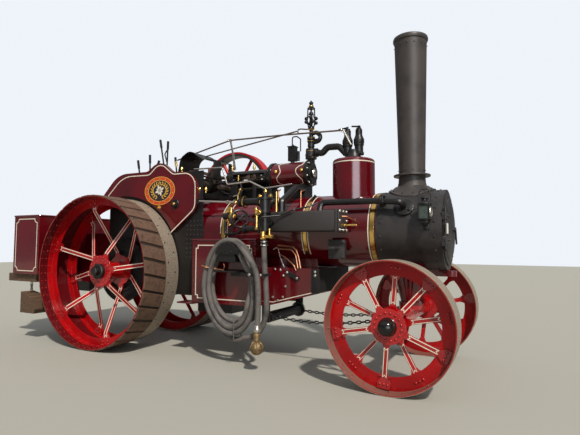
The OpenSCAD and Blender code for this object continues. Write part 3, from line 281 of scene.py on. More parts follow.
def wheelTread(centre, treadR, strakeY, insideR, insideTone):  # worn bare outside, and the iron between the strakes darkened with dirt and painted shade
    def build(place):
        reach = reachFrom(place, centre)
        grain = place.noise(60, 5, 0.65)
        bare = (reach + (grain - 0.5) * 0.012).above(treadR, 0.002)
        red = place.noise(3, 4).above(0.5, 0.2).blend(tones["wheelRed"], tones["wheelRedDeep"])
        soiled = place.noise(11, 6, 0.7).above(0.6, 0.1) * reach.above(treadR - 0.12, 0.1) * 0.1
        # the inside face of the rim takes insideTone: painted shade in a darker red on the rear wheels, a
        # darker brown on the front
        inside = reach.above(insideR - 0.004, 0.001) * reach.below(insideR + 0.002, 0.001)
        red = inside.blend(red, tones[insideTone])
        red = soiled.blend(red, tones["mud"])
        iron = grain.above(0.56, 0.16).blend(tones["wornGrey"], tones["mud"])
        # between the strakes the bare iron takes a dark tone: dirt, and painted shade for the shadow of the
        # plates
        iron = abs(axis(place, "Y")).above(strakeY, 0.012).blend(iron, tones["strakeGapShadeAndDirt"])
        colour = bare.blend(red, iron)
        rough = 0.2 + soiled * 0.4 + bare * (0.26 + grain * 0.3)
        return surface(place, colour, rough, bare * 0.3, grain * (0.15 + bare), 0.0012, 0.004,
                       Specular_IOR_Level=0.3)
    return build


def twoTone(centre, band, first, second, rough):  # a ring of the second colour on the first
    def build(place):
        reach = reachFrom(place, centre)
        inRing = reach.above(band[0], 0.001) * reach.below(band[1], 0.001)
        colour = inRing.blend(tones[first], tones[second])
        return surface(place, colour, rough + place.noise(18, 4) * 0.1, bump=place.noise(130, 2),
                       height=0.0003, edge=0.003, Specular_IOR_Level=0.35)
    return build


def rustyPlate(place):
    patches = place.noise(14, 6, 0.7)
    grain = place.noise(70, 5, 0.7)
    colour = patches.above(0.56, 0.14).blend(tones["rust"], tones["rustDark"])
    colour = grain.above(0.62, 0.08).blend(colour, tones["mud"])
    return surface(place, colour, 0.6 + grain * 0.3, 0.25, patches + grain, 0.003, 0.003)


def oldTimber(place):
    grain = place.noise(30, 6, 0.65, (1, 0.06, 1))
    split = place.noise(90, 4, 0.6, (1, 0.03, 1))
    colour = grain.above(0.5, 0.16).blend(tones["timber"], tones["timberDark"])
    return surface(place, colour, 0.72, bump=grain + split, height=0.003, edge=0.006)


def hoseCanvas(place):
    weave = place.noise(420, 2, 0.6)
    soiled = place.noise(7, 5, 0.65).above(0.55, 0.14)
    colour = soiled.blend(tones["hose"], tones["hoseDark"])
    return surface(place, colour, 0.62 + weave * 0.2, bump=weave, height=0.0008)


def plainPaint(first, second, rough):  # badge colours
    def build(place):
        colour = place.noise(40, 3).above(0.55, 0.2).blend(first, second)
        return surface(place, colour, rough, bump=place.noise(200, 2), height=0.0002)
    return build


paints = {
    "maroon": material("maroonPaint", glossPaint("maroon", "maroonDeep")),
    "red": material("wheelRedPaint", glossPaint("wheelRed", "wheelRedDeep", 0.05)),
    # rivet heads: the wheel red mottled with a darker red, painted shade
    "rivetShadeRed": material("rivetShadeRedPaint", glossPaint("wheelRed", "rivetShadeRed", 0.0)),
    "flywheel": material("flywheelPaint", twoTone(engine["crank"], engine["flywheelBand"], "wheelRed",
                                                  "smokeblack", 0.3)),
    "smokebox": material("smokeboxBlack", satinBlack("smokeblack", "ironBlack", 0.46)),
    "iron": material("blackIron", satinBlack("ironBlack", "oil", 0.36)),
    "gloss": material("glossBlack", satinBlack("oil", "oil", 0.16)),
    "chimney": material("chimneyBlack", satinBlack("soot", "smokeblack", 0.44)),
    # shade: a matt near-black; on the front of the belly tank it is painted shade, and the rear wheel drums
    # are painted with it too
    "shade": material("mattBlack", satinBlack("oil", "oil", 0.85)),
    "oldBrass": material("dullBrass", bareMetal("oldBrass", "oldBrassDark", 0.42, 0.5)),
    "oiled": material("oiledSteel", bareMetal("oiled", "oiledDark", 0.34, 0.5)),
    "heater": material("heaterBlack", satinBlack("smokeblack", "smokeblack", 0.5)),
    "steel": material("brightSteel", bareMetal("steel", "steelDark", 0.3)),
    "brass": material("polishedBrass", bareMetal("brass", "brassDark", 0.2, 0.66)),
    "copper": material("copperPipe", bareMetal("copper", "brassDark", 0.3)),
    "cream": material("creamLining", creamLine),
    "rearTread": material("rearRimPaint", wheelTread(engine["rearAxle"], 0.973, 0.7, 0.966, "rimInsideShade")),
    "frontTread": material("frontRimPaint", wheelTread(engine["frontAxle"], 0.602, 3, 0.593, "rimInsideBrown")),
    "strake": material("rustyStrake", rustyPlate),
    "timber": material("oldTimber", oldTimber),
    "hose": material("hoseCanvas", hoseCanvas),
    "creamWheel": material("creamWheelLining", creamLine),
    "orange": material("badgeOrange", plainPaint((0.62, 0.075, 0.02), (0.5, 0.05, 0.015), 0.3)),
    "gold": material("badgeGold", plainPaint((0.72, 0.42, 0.06), (0.6, 0.33, 0.04), 0.35)),
    "night": material("badgeField", plainPaint((0.02, 0.018, 0.03), (0.035, 0.02, 0.02), 0.35)),
    "glass": material("lanternGlass", plainPaint((0.07, 0.09, 0.08), (0.04, 0.055, 0.05), 0.06)),
    "card": material("plainCard", plainPaint((0.75, 0.74, 0.7), (0.68, 0.66, 0.6), 0.6)),
}

nodesOf = {  # a name that isn't a node itself stands for a pair, left and right
    "maroon": "boiler_barrel firebox steam_dome cylinder_lagging gear_cover side_tanks belly_tank tender"
              " tail_tank perch_bracket",
    "iron": "safety_valves steam_pipes cylinder_castings trunk_guide hornplates second_shaft crank_guard"
            " governor levers feed_pump feed_pipes ashpan hose_saddle drawbar steering_gear steering_chains"
            " steering_column lanterns rear_axle rear_cap front_cap",
    "smokebox": "smokebox smokebox_door", "chimney": "chimney", "heater": "feed_heater",
    "brass": "boiler_bands hose_strainer", "oiled": "motion_rods crankshaft", "steel": "control_rods",
    "flywheel": "flywheel", "red": "front_axle rear_spokes front_spokes", "rearTread": "rear_rim",
    "frontTread": "front_rim", "strake": "rear_strakes", "hose": "suction_coil hose_drop hose_end",
    "timber": "tail_timbers wheel_chock",
}


def dressNodes():
    for finish, names in nodesOf.items():
        for name in names.split():
            for node in [name] if name in nodes else [name + "_left", name + "_right"]:
                nodes[node].data.materials.clear()
                nodes[node].data.materials.append(paints[finish])


dressNodes()
print("frame dressed")


# Suction hose: from the pump down to the coil, nearly four times round it, and down to the strainer

hose = {
    "width": 0.064,
    "dropRoute": [(2434, -770, 1345), (2435, -770, 1250), (2442, -770, 1100), (2456, -771, 950),
                  (2467, -772, 810), (2470, -772, 690), (2460, -772, 585), (2428, -771, 485),
                  (2375, -770, 405), (2300, -769, 345)],
    "endRoute": [(2240, -850, 1258), (2296, -872, 1208), (2352, -878, 1140), (2396, -880, 1060),
                 (2420, -880, 960), (2430, -880, 840), (2431, -880, 700), (2427, -880, 580),
                 (2421, -880, 500), (2419, -880, 420), (2417, -880, 322)],
    "middle": (1985, 848), "halfWide": 365, "halfHigh": 578, "lean": 60,
    # strands of the coil: how far inside its outline, the same at the foot, and the plane they lie in
    "strands": [(33, 33, -735), (99, 219, -735), (99, 157, -803), (33, 95, -803)],
    "changes": [(325, 355), (290, 320), (255, 285)],  # degrees into each turn where a strand moves over
    "entry": (8, 0, -767), "settle": 45,  # it comes in from the drop, just outside the coil
    "enter": -66, "leave": 58 - 4 * 360,
    "ribPitch": 0.021,
}


def hosePlace(gone):  # the coil's strand at so many degrees from its start
    strand = np.array(hose["strands"][0])
    for turn, (first, last) in enumerate(hose["changes"]):
        share = min(max((gone - 360 * turn - first) / (last - first), 0), 1)
        share = share * share * (3 - 2 * share)
        strand = strand + (np.array(hose["strands"][turn + 1]) - strand) * share
    settled = min(gone / hose["settle"], 1)
    side, foot, y = strand * settled + np.array(hose["entry"]) * (1 - settled)
    turn = math.radians(hose["enter"] - gone)
    rise = (hose["halfHigh"] - (foot if math.sin(turn) < 0 else side)) * math.sin(turn)
    x = hose["middle"][0] + (hose["halfWide"] - side) * math.cos(turn)
    return at(x - hose["lean"] * min(rise, 0) / hose["halfHigh"], y, hose["middle"][1] + rise)


def hosePoints():  # down from the pump, round the coil, and down again
    coil = [hosePlace(gone) for gone in range(0, hose["enter"] - hose["leave"], 12)]
    return [at(*p) for p in hose["dropRoute"]] + coil + [at(*p) for p in hose["endRoute"]]


def smoothRoute(route, step):  # points at even distances on a smooth curve through the route
    fine = []
    for i in range(len(route) - 1):
        p0, p1, p2, p3 = (np.array(route[min(max(i + k, 0), len(route) - 1)]) for k in (-1, 0, 1, 2))
        d1, d2 = (p2 - p0) / 2, (p3 - p1) / 2
        for t in np.linspace(0, 1, 12, endpoint=False):
            fine.append((2 * t**3 - 3 * t**2 + 1) * p1 + (t**3 - 2 * t**2 + t) * d1
                        + (3 * t**2 - 2 * t**3) * p2 + (t**3 - t**2) * d2)
    fine = np.array(fine + [np.array(route[-1])])
    along = np.concatenate([[0], np.cumsum(np.linalg.norm(np.diff(fine, axis=0), axis=1))])
    places = np.arange(0, along[-1], step)
    return np.stack([np.interp(places, along, fine[:, k]) for k in range(3)], 1), along[-1]


def makeHose(strainer):
    points, length = smoothRoute(hosePoints(), hose["ribPitch"] / 3)
    line = bpy.data.curves.new("suctionHose", "CURVE")
    line.dimensions = "3D"
    line.bevel_depth = hose["width"] / 2
    line.bevel_resolution = 4
    line.use_fill_caps = True
    spline = line.splines.new("POLY")
    spline.points.add(len(points) - 1)
    for i, (place, point) in enumerate(zip(points, spline.points)):
        point.co = (*place, 1)
        point.radius = 1.0 if i % 3 else 0.88
    tube = bpy.data.objects.new("suctionHose", line)
    scene.collection.objects.link(tube)
    line.materials.append(paints["hose"])
    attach(tube, "chassis")
    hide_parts("suction_coil", "hose_drop", "hose_end")
    print(f"hose laid, {length:.2f} m long")


# Modelling helpers: a shape is a list of points and a list of faces, and a piece is made of many shapes

ahead, behind, upward, sideways, toRight = (1, 0, 0), (-1, 0, 0), (0, 0, 1), (0, 1, 0), (0, -1, 0)
sideNames = {1: "Left", -1: "Right"}


def only(piece):  # select this piece and nothing else
    bpy.ops.object.select_all(action="DESELECT")
    piece.select_set(True)
    bpy.context.view_layer.objects.active = piece


def edit(*steps):  # edit mode on the active piece, with everything in it selected
    bpy.ops.object.mode_set(mode="EDIT")
    bpy.ops.mesh.select_all(action="SELECT")
    for step in steps:
        step()
    bpy.ops.object.mode_set(mode="OBJECT")


def outwards():
    bpy.ops.mesh.normals_make_consistent(inside=False)


def weld():
    bpy.ops.mesh.select_all(action="SELECT")
    bpy.ops.mesh.remove_doubles(threshold=0.00002)


def placed(place):  # a tuple holds millimetres, a Vector metres
    return at(*place) if isinstance(place, tuple) else place


def taken(piece):  # a modelled piece turned into a shape
    points = np.array([piece.matrix_world @ v.co for v in piece.data.vertices])
    faces = [tuple(face.vertices) for face in piece.data.polygons]
    bpy.data.objects.remove(piece, do_unlink=True)
    return points, faces


def put(shape, place, toward=upward, size=1.0):
    points, faces = shape
    turn = Vector((0, 0, 1)).rotation_difference(Vector(toward)).to_matrix()
    return points * size @ np.array(turn).T + np.array(placed(place)), faces


def heads(shape, spots, toward, size):  # rivets or bolts at some spots
    return [put(shape, spot, toward, size) for spot in spots]


def joined(shapes):
    faces, start = [], 0
    for points, itsFaces in shapes:
        faces += [tuple(k + start for k in face) for face in itsFaces]
        start += len(points)
    return np.concatenate([points for points, _ in shapes]), faces


def piece(name, shapes, finish, body="chassis", smooth=35, replaces=()):
    points, faces = joined(shapes)
    mesh = bpy.data.meshes.new(name)
    mesh.from_pydata(points.tolist(), [], faces)
    made = bpy.data.objects.new(name, mesh)
    scene.collection.objects.link(made)
    only(made)
    edit(outwards)
    if smooth:
        bpy.ops.object.shade_smooth_by_angle(angle=math.radians(smooth))
    mesh.materials.append(paints[finish])
    if body:
        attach(made, body)
    if replaces:
        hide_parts(*replaces)
    return made


def skin(count, around, closed=False):  # faces of a tube made of rings with so many points around
    faces = []
    for k in range(count if closed else count - 1):
        a, b = around * k, around * ((k + 1) % count)
        faces += [(a + i, a + (i + 1) % around, b + (i + 1) % around, b + i) for i in range(around)]
    if not closed:
        end = around * count
        faces += [tuple(range(around)), tuple(range(end - 1, end - around - 1, -1))]
    return faces


def turnedShape(rows, steps=24):  # rows of radius and height, in millimetres, spun round the z axis
    mesh = bpy.data.meshes.new("turned")
    points = [(r / 1000, 0, h / 1000) for r, h in rows]
    mesh.from_pydata(points, [(i, i + 1) for i in range(len(rows) - 1)], [])
    turned = bpy.data.objects.new("turned", mesh)
    scene.collection.objects.link(turned)
    only(turned)
    edit(lambda: bpy.ops.mesh.spin(steps=steps, angle=math.tau, center=(0, 0, 0), axis=(0, 0, 1)),
         weld, outwards)
    return taken(turned)


def discShape(radius, high, steps=28):  # a plain disc
    return turnedShape([(0, 0), (radius, 0), (radius, high), (0, high)], steps)


def boxShape(low, high, soft=0.0):  # a block between two corners, its edges rounded
    bpy.ops.object.select_all(action="DESELECT")
    low, high = placed(low), placed(high)
    bpy.ops.mesh.primitive_cube_add(size=1, location=(low + high) / 2, scale=high - low)
    block = bpy.context.object
    only(block)
    bpy.ops.object.transform_apply(location=True, rotation=True, scale=True)
    if soft:
        edit(lambda: bpy.ops.mesh.bevel(offset=soft, segments=2, affect="EDGES"))
    return taken(block)


def domeShape():  # rivet head of radius 1
    bpy.ops.object.select_all(action="DESELECT")
    bpy.ops.mesh.primitive_uv_sphere_add(segments=8, ring_count=6, radius=1)
    dome = bpy.context.object
    only(dome)
    edit(lambda: bpy.ops.mesh.bisect(plane_co=(0, 0, 0), plane_no=(0, 0, 1), use_fill=True, clear_inner=True),
         lambda: bpy.ops.mesh.select_all(action="SELECT"),
         lambda: bpy.ops.transform.resize(value=(1, 1, 0.7)))
    return taken(dome)


def boltShape():  # six sided head of radius 1 on a washer
    bpy.ops.object.select_all(action="DESELECT")
    bpy.ops.mesh.primitive_cylinder_add(vertices=10, radius=1.35, depth=0.3, location=(0, 0, 0.1))
    washer = taken(bpy.context.object)
    bpy.ops.object.select_all(action="DESELECT")
    bpy.ops.mesh.primitive_cylinder_add(vertices=6, radius=1, depth=0.9, location=(0, 0, 0.6))
    head = bpy.context.object
    only(head)
    bpy.ops.object.mode_set(mode="EDIT")
    bpy.ops.mesh.select_all(action="DESELECT")
    bpy.ops.object.mode_set(mode="OBJECT")
    for face in head.data.polygons:
        face.select = face.normal.z > 0.9
    bpy.ops.object.mode_set(mode="EDIT")
    bpy.ops.mesh.inset(thickness=0.18)
    bpy.ops.transform.translate(value=(0, 0, 0.12))
    bpy.ops.object.mode_set(mode="OBJECT")
    return joined([washer, taken(head)])


def lineShape(points, normals, width=0.011, closed=False, high=0.0009):  # a flat strip along a path
    points = [Vector(placed(p)) for p in points]
    count = len(points)
    normals = normals if isinstance(normals, list) else [normals] * count
    corners = []
    for i, (point, normal) in enumerate(zip(points, normals)):
        normal = Vector(normal)
        steps = [point - points[i - 1]] if closed or i else []
        steps += [points[(i + 1) % count] - point] if closed or i < count - 1 else []
        side = sum((normal.cross(step).normalized() for step in steps), Vector()) / len(steps)
        side *= width / 2 / max(side.length_squared, 0.3)
        for across, up in ((-1, -0.4), (1, -0.4), (1, 1), (-1, 1)):
            corners.append(point + side * across + normal * high * up)
    return np.array(corners), skin(count, 4, closed)


def rounded(points, bend, steps=5):  # the same path with an arc at each corner
    points = [Vector(p) for p in points]
    out = [points[0]]
    for before, here, after in zip(points, points[1:], points[2:]):
        u, v = (before - here).normalized(), (after - here).normalized()
        half = u.angle(v) / 2
        if half > 1.5:  # nearly straight
            out.append(here)
            continue
        reach = min(bend / math.tan(half), 0.48 * (before - here).length, 0.48 * (after - here).length)
        centre = here + (u + v).normalized() * reach / math.cos(half)
        start = here + u * reach - centre
        axisOfBend = start.cross(here + v * reach - centre)
        out += [centre + Matrix.Rotation((math.pi - 2 * half) * k / steps, 3, axisOfBend) @ start
                for k in range(steps + 1)]
    return out + [points[-1]]


def pipeShape(points, radius, bend=0.0, sides=2):
    line = bpy.data.curves.new("pipe", "CURVE")
    line.dimensions = "3D"
    line.bevel_depth = radius
    line.bevel_resolution = sides
    line.use_fill_caps = True
    points = [placed(p) for p in points]
    points = rounded(points, bend) if bend else points
    spline = line.splines.new("POLY")
    spline.points.add(len(points) - 1)
    for place, point in zip(points, spline.points):
        point.co = (*place, 1)
    tube = bpy.data.objects.new("pipe", line)
    scene.collection.objects.link(tube)
    only(tube)
    bpy.ops.object.convert(target="MESH")
    edit(weld)
    return taken(tube)


def ring(number, radius, centre, u, v, shift=0.5):  # places round a centre, each with the way out from it
    for k in range(number):
        turn = math.tau * (k + shift) / number
        out = Vector(u) * math.cos(turn) + Vector(v) * math.sin(turn)
        yield centre + out * radius, out


def arc(centre, u, v, radius, first, last, step):  # points round a centre, with their normals
    count = max(int(abs(last - first) / step), 2)
    turns = [math.radians(first + (last - first) * k / count) for k in range(count + 1)]
    normals = [Vector(u) * math.cos(a) + Vector(v) * math.sin(a) for a in turns]
    return [centre + normal * radius / 1000 for normal in normals], normals


dome = domeShape()
bolt = boltShape()
flatBolt = turnedShape([(0, 150), (700, 120), (900, 40), (1000, -400), (0, -400)], 10)
ball = turnedShape([(1000 * math.sin(math.radians(15 * k)), -1000 * math.cos(math.radians(15 * k)))
                    for k in range(13)], 20)
oilCup = turnedShape([(0, 0), (9, 0), (9, 14), (17, 20), (17, 46), (13, 52), (8, 56), (8, 66), (11, 70),
                      (11, 82), (0, 84)])
ballCup = turnedShape([(0, 0), (7, 0), (7, 16), (14, 22), (18, 34), (14, 46), (6, 50), (6, 58), (0, 60)])
nut = turnedShape([(0, 0), (22, 0), (22, 18), (18, 22), (0, 22)], 6)


# Wheels: lining, rivets, strakes and caps; radii and depths from the inner plane are in millimetres

rearWheel = {
    "axle": engine["rearAxle"], "inner": 0.474,
    "phases": (60, -0.147, 0.34),  # degrees between spokes, and where the outer and inner ones start
    # rows of radius and depth of an outer and an inner spoke
    "spokes": [[(205, 383), (250, 383), (800.7, 117), (950, 117)],
               [(205, 88), (250, 88), (800.7, 400), (866, 400)]],
    "lines": ((236, 862), (236, 852)), "lineHalf": 22.5, "lineWidth": 0.0095, "notch": 24,
    "hubRivets": [(22, 184), (20, 142)], "hubFace": 400, "rivet": 0.0138,
    # radius and place across of the rivets in a spoke's foot
    "foot": [(900, -42), (900, 42), (937, -55), (937, 0), (937, 55)], "footFaces": (117, 414),
    # radius, depth and number of the rivets in the rim
    "rimRows": [(954, 430, 60), (954, 462, 60), (966, 505, 60), (966, 560, 60)], "rimRivet": 0.009,
    "rimR": 978.1, "strakes": 32, "strakeEnds": (239, 589), "slant": 4.2, "strakeGap": 1.75,
    "strakeBolts": (290, 540), "strakeBoltR": 987.8, "strakeBolt": 0.014,
    "bandBolts": [(60, 0), (178, 0.5)], "bandCount": 24, "bandR": 978, "bandBolt": 0.013,
    "drum": [(128, 0), (432, 0), (440, 6), (440, 24), (426, 26), (424, 14), (300, 12), (290, 20), (270, 20),
             (262, 12), (128, 12)],
    "drumPlace": 12, "studR": 160, "studEnds": (22, 69), "stud": 0.016,
}
frontWheel = {
    "axle": engine["frontAxle"], "inner": 0.721, "phases": (72, 0.336, 0.837),
    "spokes": [[(163, 184), (198, 184), (467.7, 146), (577, 146)],
               [(163, 94), (198, 94), (467.7, 118), (577, 118)]],
    "lines": ((196, 470), (196, 455)), "lineHalf": 17, "lineWidth": 0.0075, "notch": 18,
    "hubRivets": [(16, 126)], "hubFace": 199, "rivet": 0.0135,
    "foot": [(535, -38), (535, 0), (535, 38)], "footFaces": (146, 132),
    "rimRows": [(592, 190, 30)], "rimRivet": 0.009,
    "flare": [(414, 24), (446, 38), (470, 60)],  # radius and half width where a spoke widens before its foot
    "cap": [(30, 0), (84, 0), (86, 8), (79, 14), (76, 52), (72, 78), (60, 98), (38, 112), (14, 118),
            (0, 119)],
    "capPlace": 205.5,
}


def onWheel(wheel, side, turn, radius, across, depth):
    a = math.radians(turn)
    x, z = wheel["axle"]
    r, w = radius / 1000, across / 1000
    return Vector((x + r * math.cos(a) + w * math.sin(a), side * (wheel["inner"] + depth / 1000),
                   z - r * math.sin(a) + w * math.cos(a)))


def heightAt(profile, radius):
    return float(np.interp(radius, *zip(*profile)))


def wheelRing(wheel, side, shape, number, radius, depth, size, facing=0, shift=0.5):
    # facing is 1 away from the axle, -1 toward it and 0 sideways
    made = []
    for i in range(number):
        turn = 360 * (i + shift) / number
        place = onWheel(wheel, side, turn, radius, 0, depth)
        radial = place - onWheel(wheel, side, turn, 0, 0, depth)
        made.append(put(shape, place, radial * facing if facing else (0, side, 0), size))
    return made


def spokeLine(wheel, side, turn, profile, ends):
    def normal(r):
        slope = (heightAt(profile, r + 3) - heightAt(profile, r - 3)) / 6
        radial = onWheel(wheel, side, turn, 1000, 0, 0) - onWheel(wheel, side, turn, 0, 0, 0)
        return (Vector((0, side, 0)) - radial * slope).normalized()

    start, end = ends
    runs = [start] + [r for r, _ in profile if start < r < end] + [end]
    spots = [(r, 1) for r in runs] + [(end - wheel["notch"], 0)] + [(r, -1) for r in reversed(runs)]
    spots.append((start + wheel["notch"], 0))
    half = wheel["lineHalf"]
    points = [onWheel(wheel, side, turn, r, across * half, heightAt(profile, r)) for r, across in spots]
    return lineShape(points, [normal(r) for r, _ in spots], wheel["lineWidth"], closed=True)


def flareShape(wheel, side, turn, profile):
    points = [onWheel(wheel, side, turn, r, across, heightAt(profile, r) + up) for r, half in wheel["flare"]
              for across, up in ((-half, -9), (half, -9), (half, 0.3), (-half, 0.3))]
    return np.array(points), skin(3, 4)


def wheelDetail(wheel, side, name):
    step, *phases = wheel["phases"]
    body = f"{name}_wheel_{sideNames[side].lower()}"
    lines, rivets, flares = [], [], []
    for i in range(round(360 / step)):
        for phase, profile, ends, face in zip(phases, wheel["spokes"], wheel["lines"], wheel["footFaces"]):
            turn = step * (i + phase)
            lines.append(spokeLine(wheel, side, turn, profile, ends))
            if "flare" in wheel:
                flares.append(flareShape(wheel, side, turn, profile))
            rivets += [put(dome, onWheel(wheel, side, turn, r, across, face), (0, side, 0), wheel["rivet"])
                       for r, across in wheel["foot"]]
    for number, radius in wheel["hubRivets"]:
        rivets += wheelRing(wheel, side, dome, number, radius, wheel["hubFace"], wheel["rivet"])
    for radius, depth, number in wheel["rimRows"]:
        rivets += wheelRing(wheel, side, dome, number, radius, depth, wheel["rimRivet"], -1)
    if flares:
        piece("spokeFeet" + sideNames[side], flares, "red", body, 0)
    piece(f"{name}WheelLines{sideNames[side]}", lines, "creamWheel", body, 0)
    # rivet heads in the red mottled with painted shade
    piece(f"{name}WheelRivets{sideNames[side]}", rivets, "rivetShadeRed", body)


def strakeShape(side, low, high, slide):  # one plate: its angles at the outer end, and its slant at a depth
    (first, last), rim = rearWheel["strakeEnds"], rearWheel["rimR"]
    section = ((first, rim), (last, rim), (last - 3, 988), (last - 6, 990), (first + 6, 990),
               (first + 3, 988))
    points = []
    for k in range(5):
        for depth, radius in section:
            ease = 0.25 if radius > rim else 0
            turn = low + ease + (high - low - 2 * ease) * k / 4 + slide(depth)
            points.append(onWheel(rearWheel, side, turn, radius, 0, depth))
    return np.array(points), skin(5, len(section))


def rearTyre(side):  # slanting plates with their bolts, and the drum behind the spokes
    wheel = rearWheel
    first, last = wheel["strakeEnds"]
    body = "rear_wheel_" + sideNames[side].lower()

    def slide(depth):
        return wheel["slant"] * (last - depth) / (last - first)

    def seated(shape, depth):
        return put(shape, onWheel(wheel, side, 0, 0, 0, depth), (0, side, 0))

    step = 360 / wheel["strakes"]
    half = wheel["strakeGap"] / 2
    plates = [strakeShape(side, step * i + half, step * (i + 1) - half, slide)
              for i in range(wheel["strakes"])]
    hoop = turnedShape([(wheel["rimR"], 0), (986, 0), (986, 7), (wheel["rimR"], 7)], 96)
    plates.append(seated(hoop, first - 9))
    piece("strakes" + sideNames[side], plates, "strake", body, 0, ["rear_strakes_" + sideNames[side].lower()])
    drum = [seated(turnedShape(wheel["drum"], 64), wheel["drumPlace"])]
    for k in range(6):
        ends = [onWheel(wheel, side, 60 * k + 20, wheel["studR"], 0, depth) for depth in wheel["studEnds"]]
        drum.append(pipeShape(ends, wheel["stud"]))
    piece("wheelDrum" + sideNames[side], drum, "shade", body)
    bolts = []
    for depth in wheel["strakeBolts"]:
        bolts += wheelRing(wheel, side, flatBolt, wheel["strakes"], wheel["strakeBoltR"], depth,
                           wheel["strakeBolt"], 1, 0.5 + slide(depth) / step)
    for depth, shift in wheel["bandBolts"]:
        bolts += wheelRing(wheel, side, flatBolt, wheel["bandCount"], wheel["bandR"], depth,
                           wheel["bandBolt"], 1, shift)
    piece("strakeBolts" + sideNames[side], bolts, "iron", body)


def frontCap(side):  # glossy dome over the end of the front axle
    place = onWheel(frontWheel, side, 0, 0, 0, frontWheel["capPlace"])
    name = sideNames[side]
    piece("frontCap" + name, [put(turnedShape(frontWheel["cap"], 40), place, (0, side, 0))], "gloss",
          "front_wheel_" + name.lower(), 40, ["front_cap_" + name.lower()])


for side in (1, -1):
    wheelDetail(rearWheel, side, "rear")
    wheelDetail(frontWheel, side, "front")
    rearTyre(side)
    frontCap(side)
print("wheels lined")


# Boiler: lining beside the bands, rivets of the smokebox and chimney, door fittings

boiler = {
    "axisZ": 1510, "chimneyX": 3866,
    "lines": [(1606, 436, 106), (1696, 420, 106), (2712, 420, 130), (2788, 420, 130), (3490, 420, 150)],
    "lineWidth": 0.0115, "domeLine": (3190, 245, 2296),
    "rivetRows": [(3618, 427, 18), (4166, 427, 18)], "rivet": 0.012,  # place along the barrel, radius, number
    "chimneyRows": [(2165, 141.8, 12), (2012, 146.5, 12), (3560, 176, 14)], "chimneyRivet": 0.0085,
    # number, radius, place or height, and rivet, at the chimney's foot and round the door
    "footRow": (12, 0.226, 1524, 0.011), "doorRow": (24, 0.357, 4248, 0.009),
    "strapHeights": (1640, 1400), "strapBolts": (-352, -250, -148), "strapBolt": 0.012,
    "top": 0.428,  # radius of the smokebox, for what follows its round top
    # radius, height, and how far the row follows the round top of the smokebox
    "chimney": [(134.5, -2, 1), (252, 1, 1), (252, 15, 1), (216, 24, 1), (178, 40, 0.9), (157, 1990, 0),
                (147, 2030, 0), (142.5, 2098, 0), (196, 2100, 0), (198, 2104, 0), (198, 2114, 0),
                (196, 2118, 0), (141, 2119, 0), (177, 3614, 0), (186, 3617, 0), (191, 3630, 0),
                (191, 3648, 0), (186, 3662, 0), (177, 3668, 0), (170, 3664, 0), (134.5, 2110, 0)],
    "exhaustAngle": math.radians(31), "exhaustX": 3860,
}
boilerCentre = at(boiler["exhaustX"], 0, boiler["axisZ"])
exhaustOut = Vector((0, -math.cos(boiler["exhaustAngle"]), math.sin(boiler["exhaustAngle"])))


def boilerLines():
    lines = []
    for x, radius, reach in boiler["lines"]:
        points, normals = arc(at(x, 0, boiler["axisZ"]), upward, sideways, radius, -reach, reach, 3)
        lines.append(lineShape(points, normals, boiler["lineWidth"]))
    x, radius, z = boiler["domeLine"]
    points, normals = arc(at(x, 0, z), ahead, sideways, radius, 0, 352.5, 7.5)
    lines.append(lineShape(points, normals, boiler["lineWidth"], closed=True))
    piece("boilerLines", lines, "cream", smooth=0)


def smokeboxRivets():
    rivets = []
    for x, radius, number in boiler["rivetRows"]:
        row = ring(number, radius / 1000, at(x, 0, boiler["axisZ"]), sideways, upward)
        rivets += [put(dome, place, out, boiler["rivet"]) for place, out in row]
    for z, radius, number in boiler["chimneyRows"]:
        row = ring(number, radius / 1000, at(boiler["chimneyX"], 0, z), ahead, sideways)
        rivets += [put(dome, place, out, boiler["chimneyRivet"]) for place, out in row]
    number, radius, z, size = boiler["footRow"]
    for place, _ in ring(number, radius, at(boiler["chimneyX"], 0, z), ahead, sideways):
        rise = ((boiler["top"] + 0.001) ** 2 - place.y ** 2) ** 0.5 + 0.006
        rivets.append(put(dome, place + Vector((0, 0, rise)), (0, place.y, boiler["top"]), size))
    piece("smokeboxRivets", rivets, "smokebox")
    number, radius, x, size = boiler["doorRow"]
    row = ring(number, radius, at(x, 0, boiler["axisZ"]), sideways, upward)
    studs = [put(dome, place, ahead, size) for place, _ in row]
    piece("doorStuds", studs, "smokebox", "smokebox_door")


def chimneyPiece():
    steps, points = 64, []
    for k in range(steps):
        a = math.tau * k / steps
        for radius, height, seat in boiler["chimney"]:
            y = radius * math.sin(a)
            seated = boiler["axisZ"] + math.sqrt((1000 * boiler["top"]) ** 2 - y * y) + height
            z = seated if seat == 1 else (seated * 0.6 + 0.4 * (1938 + height) + 12 if seat else height)
            points.append(at(boiler["chimneyX"] + radius * math.cos(a), y, z))
    faces = skin(steps, len(boiler["chimney"]), closed=True)
    piece("chimneyBarrel", [(np.array(points), faces)], "chimney", smooth=30, replaces=["chimney"])


def doorFittings():
    straps = []
    for z in boiler["strapHeights"]:
        straps += [boxShape((4262, -395, z - 34), (4272, -40, z + 34), 0.006),
                   boxShape((4232, -412, z - 40), (4268, -372, z + 40), 0.006)]
        straps += heads(bolt, [(4272, y, z) for y in boiler["strapBolts"]], ahead, boiler["strapBolt"])
    piece("doorStraps", straps, "smokebox", "smokebox_door")
    piece("doorPlate", [boxShape((4273, -364, 1462), (4276, -262, 1566), 0.001)], "card", "smokebox_door", 0)


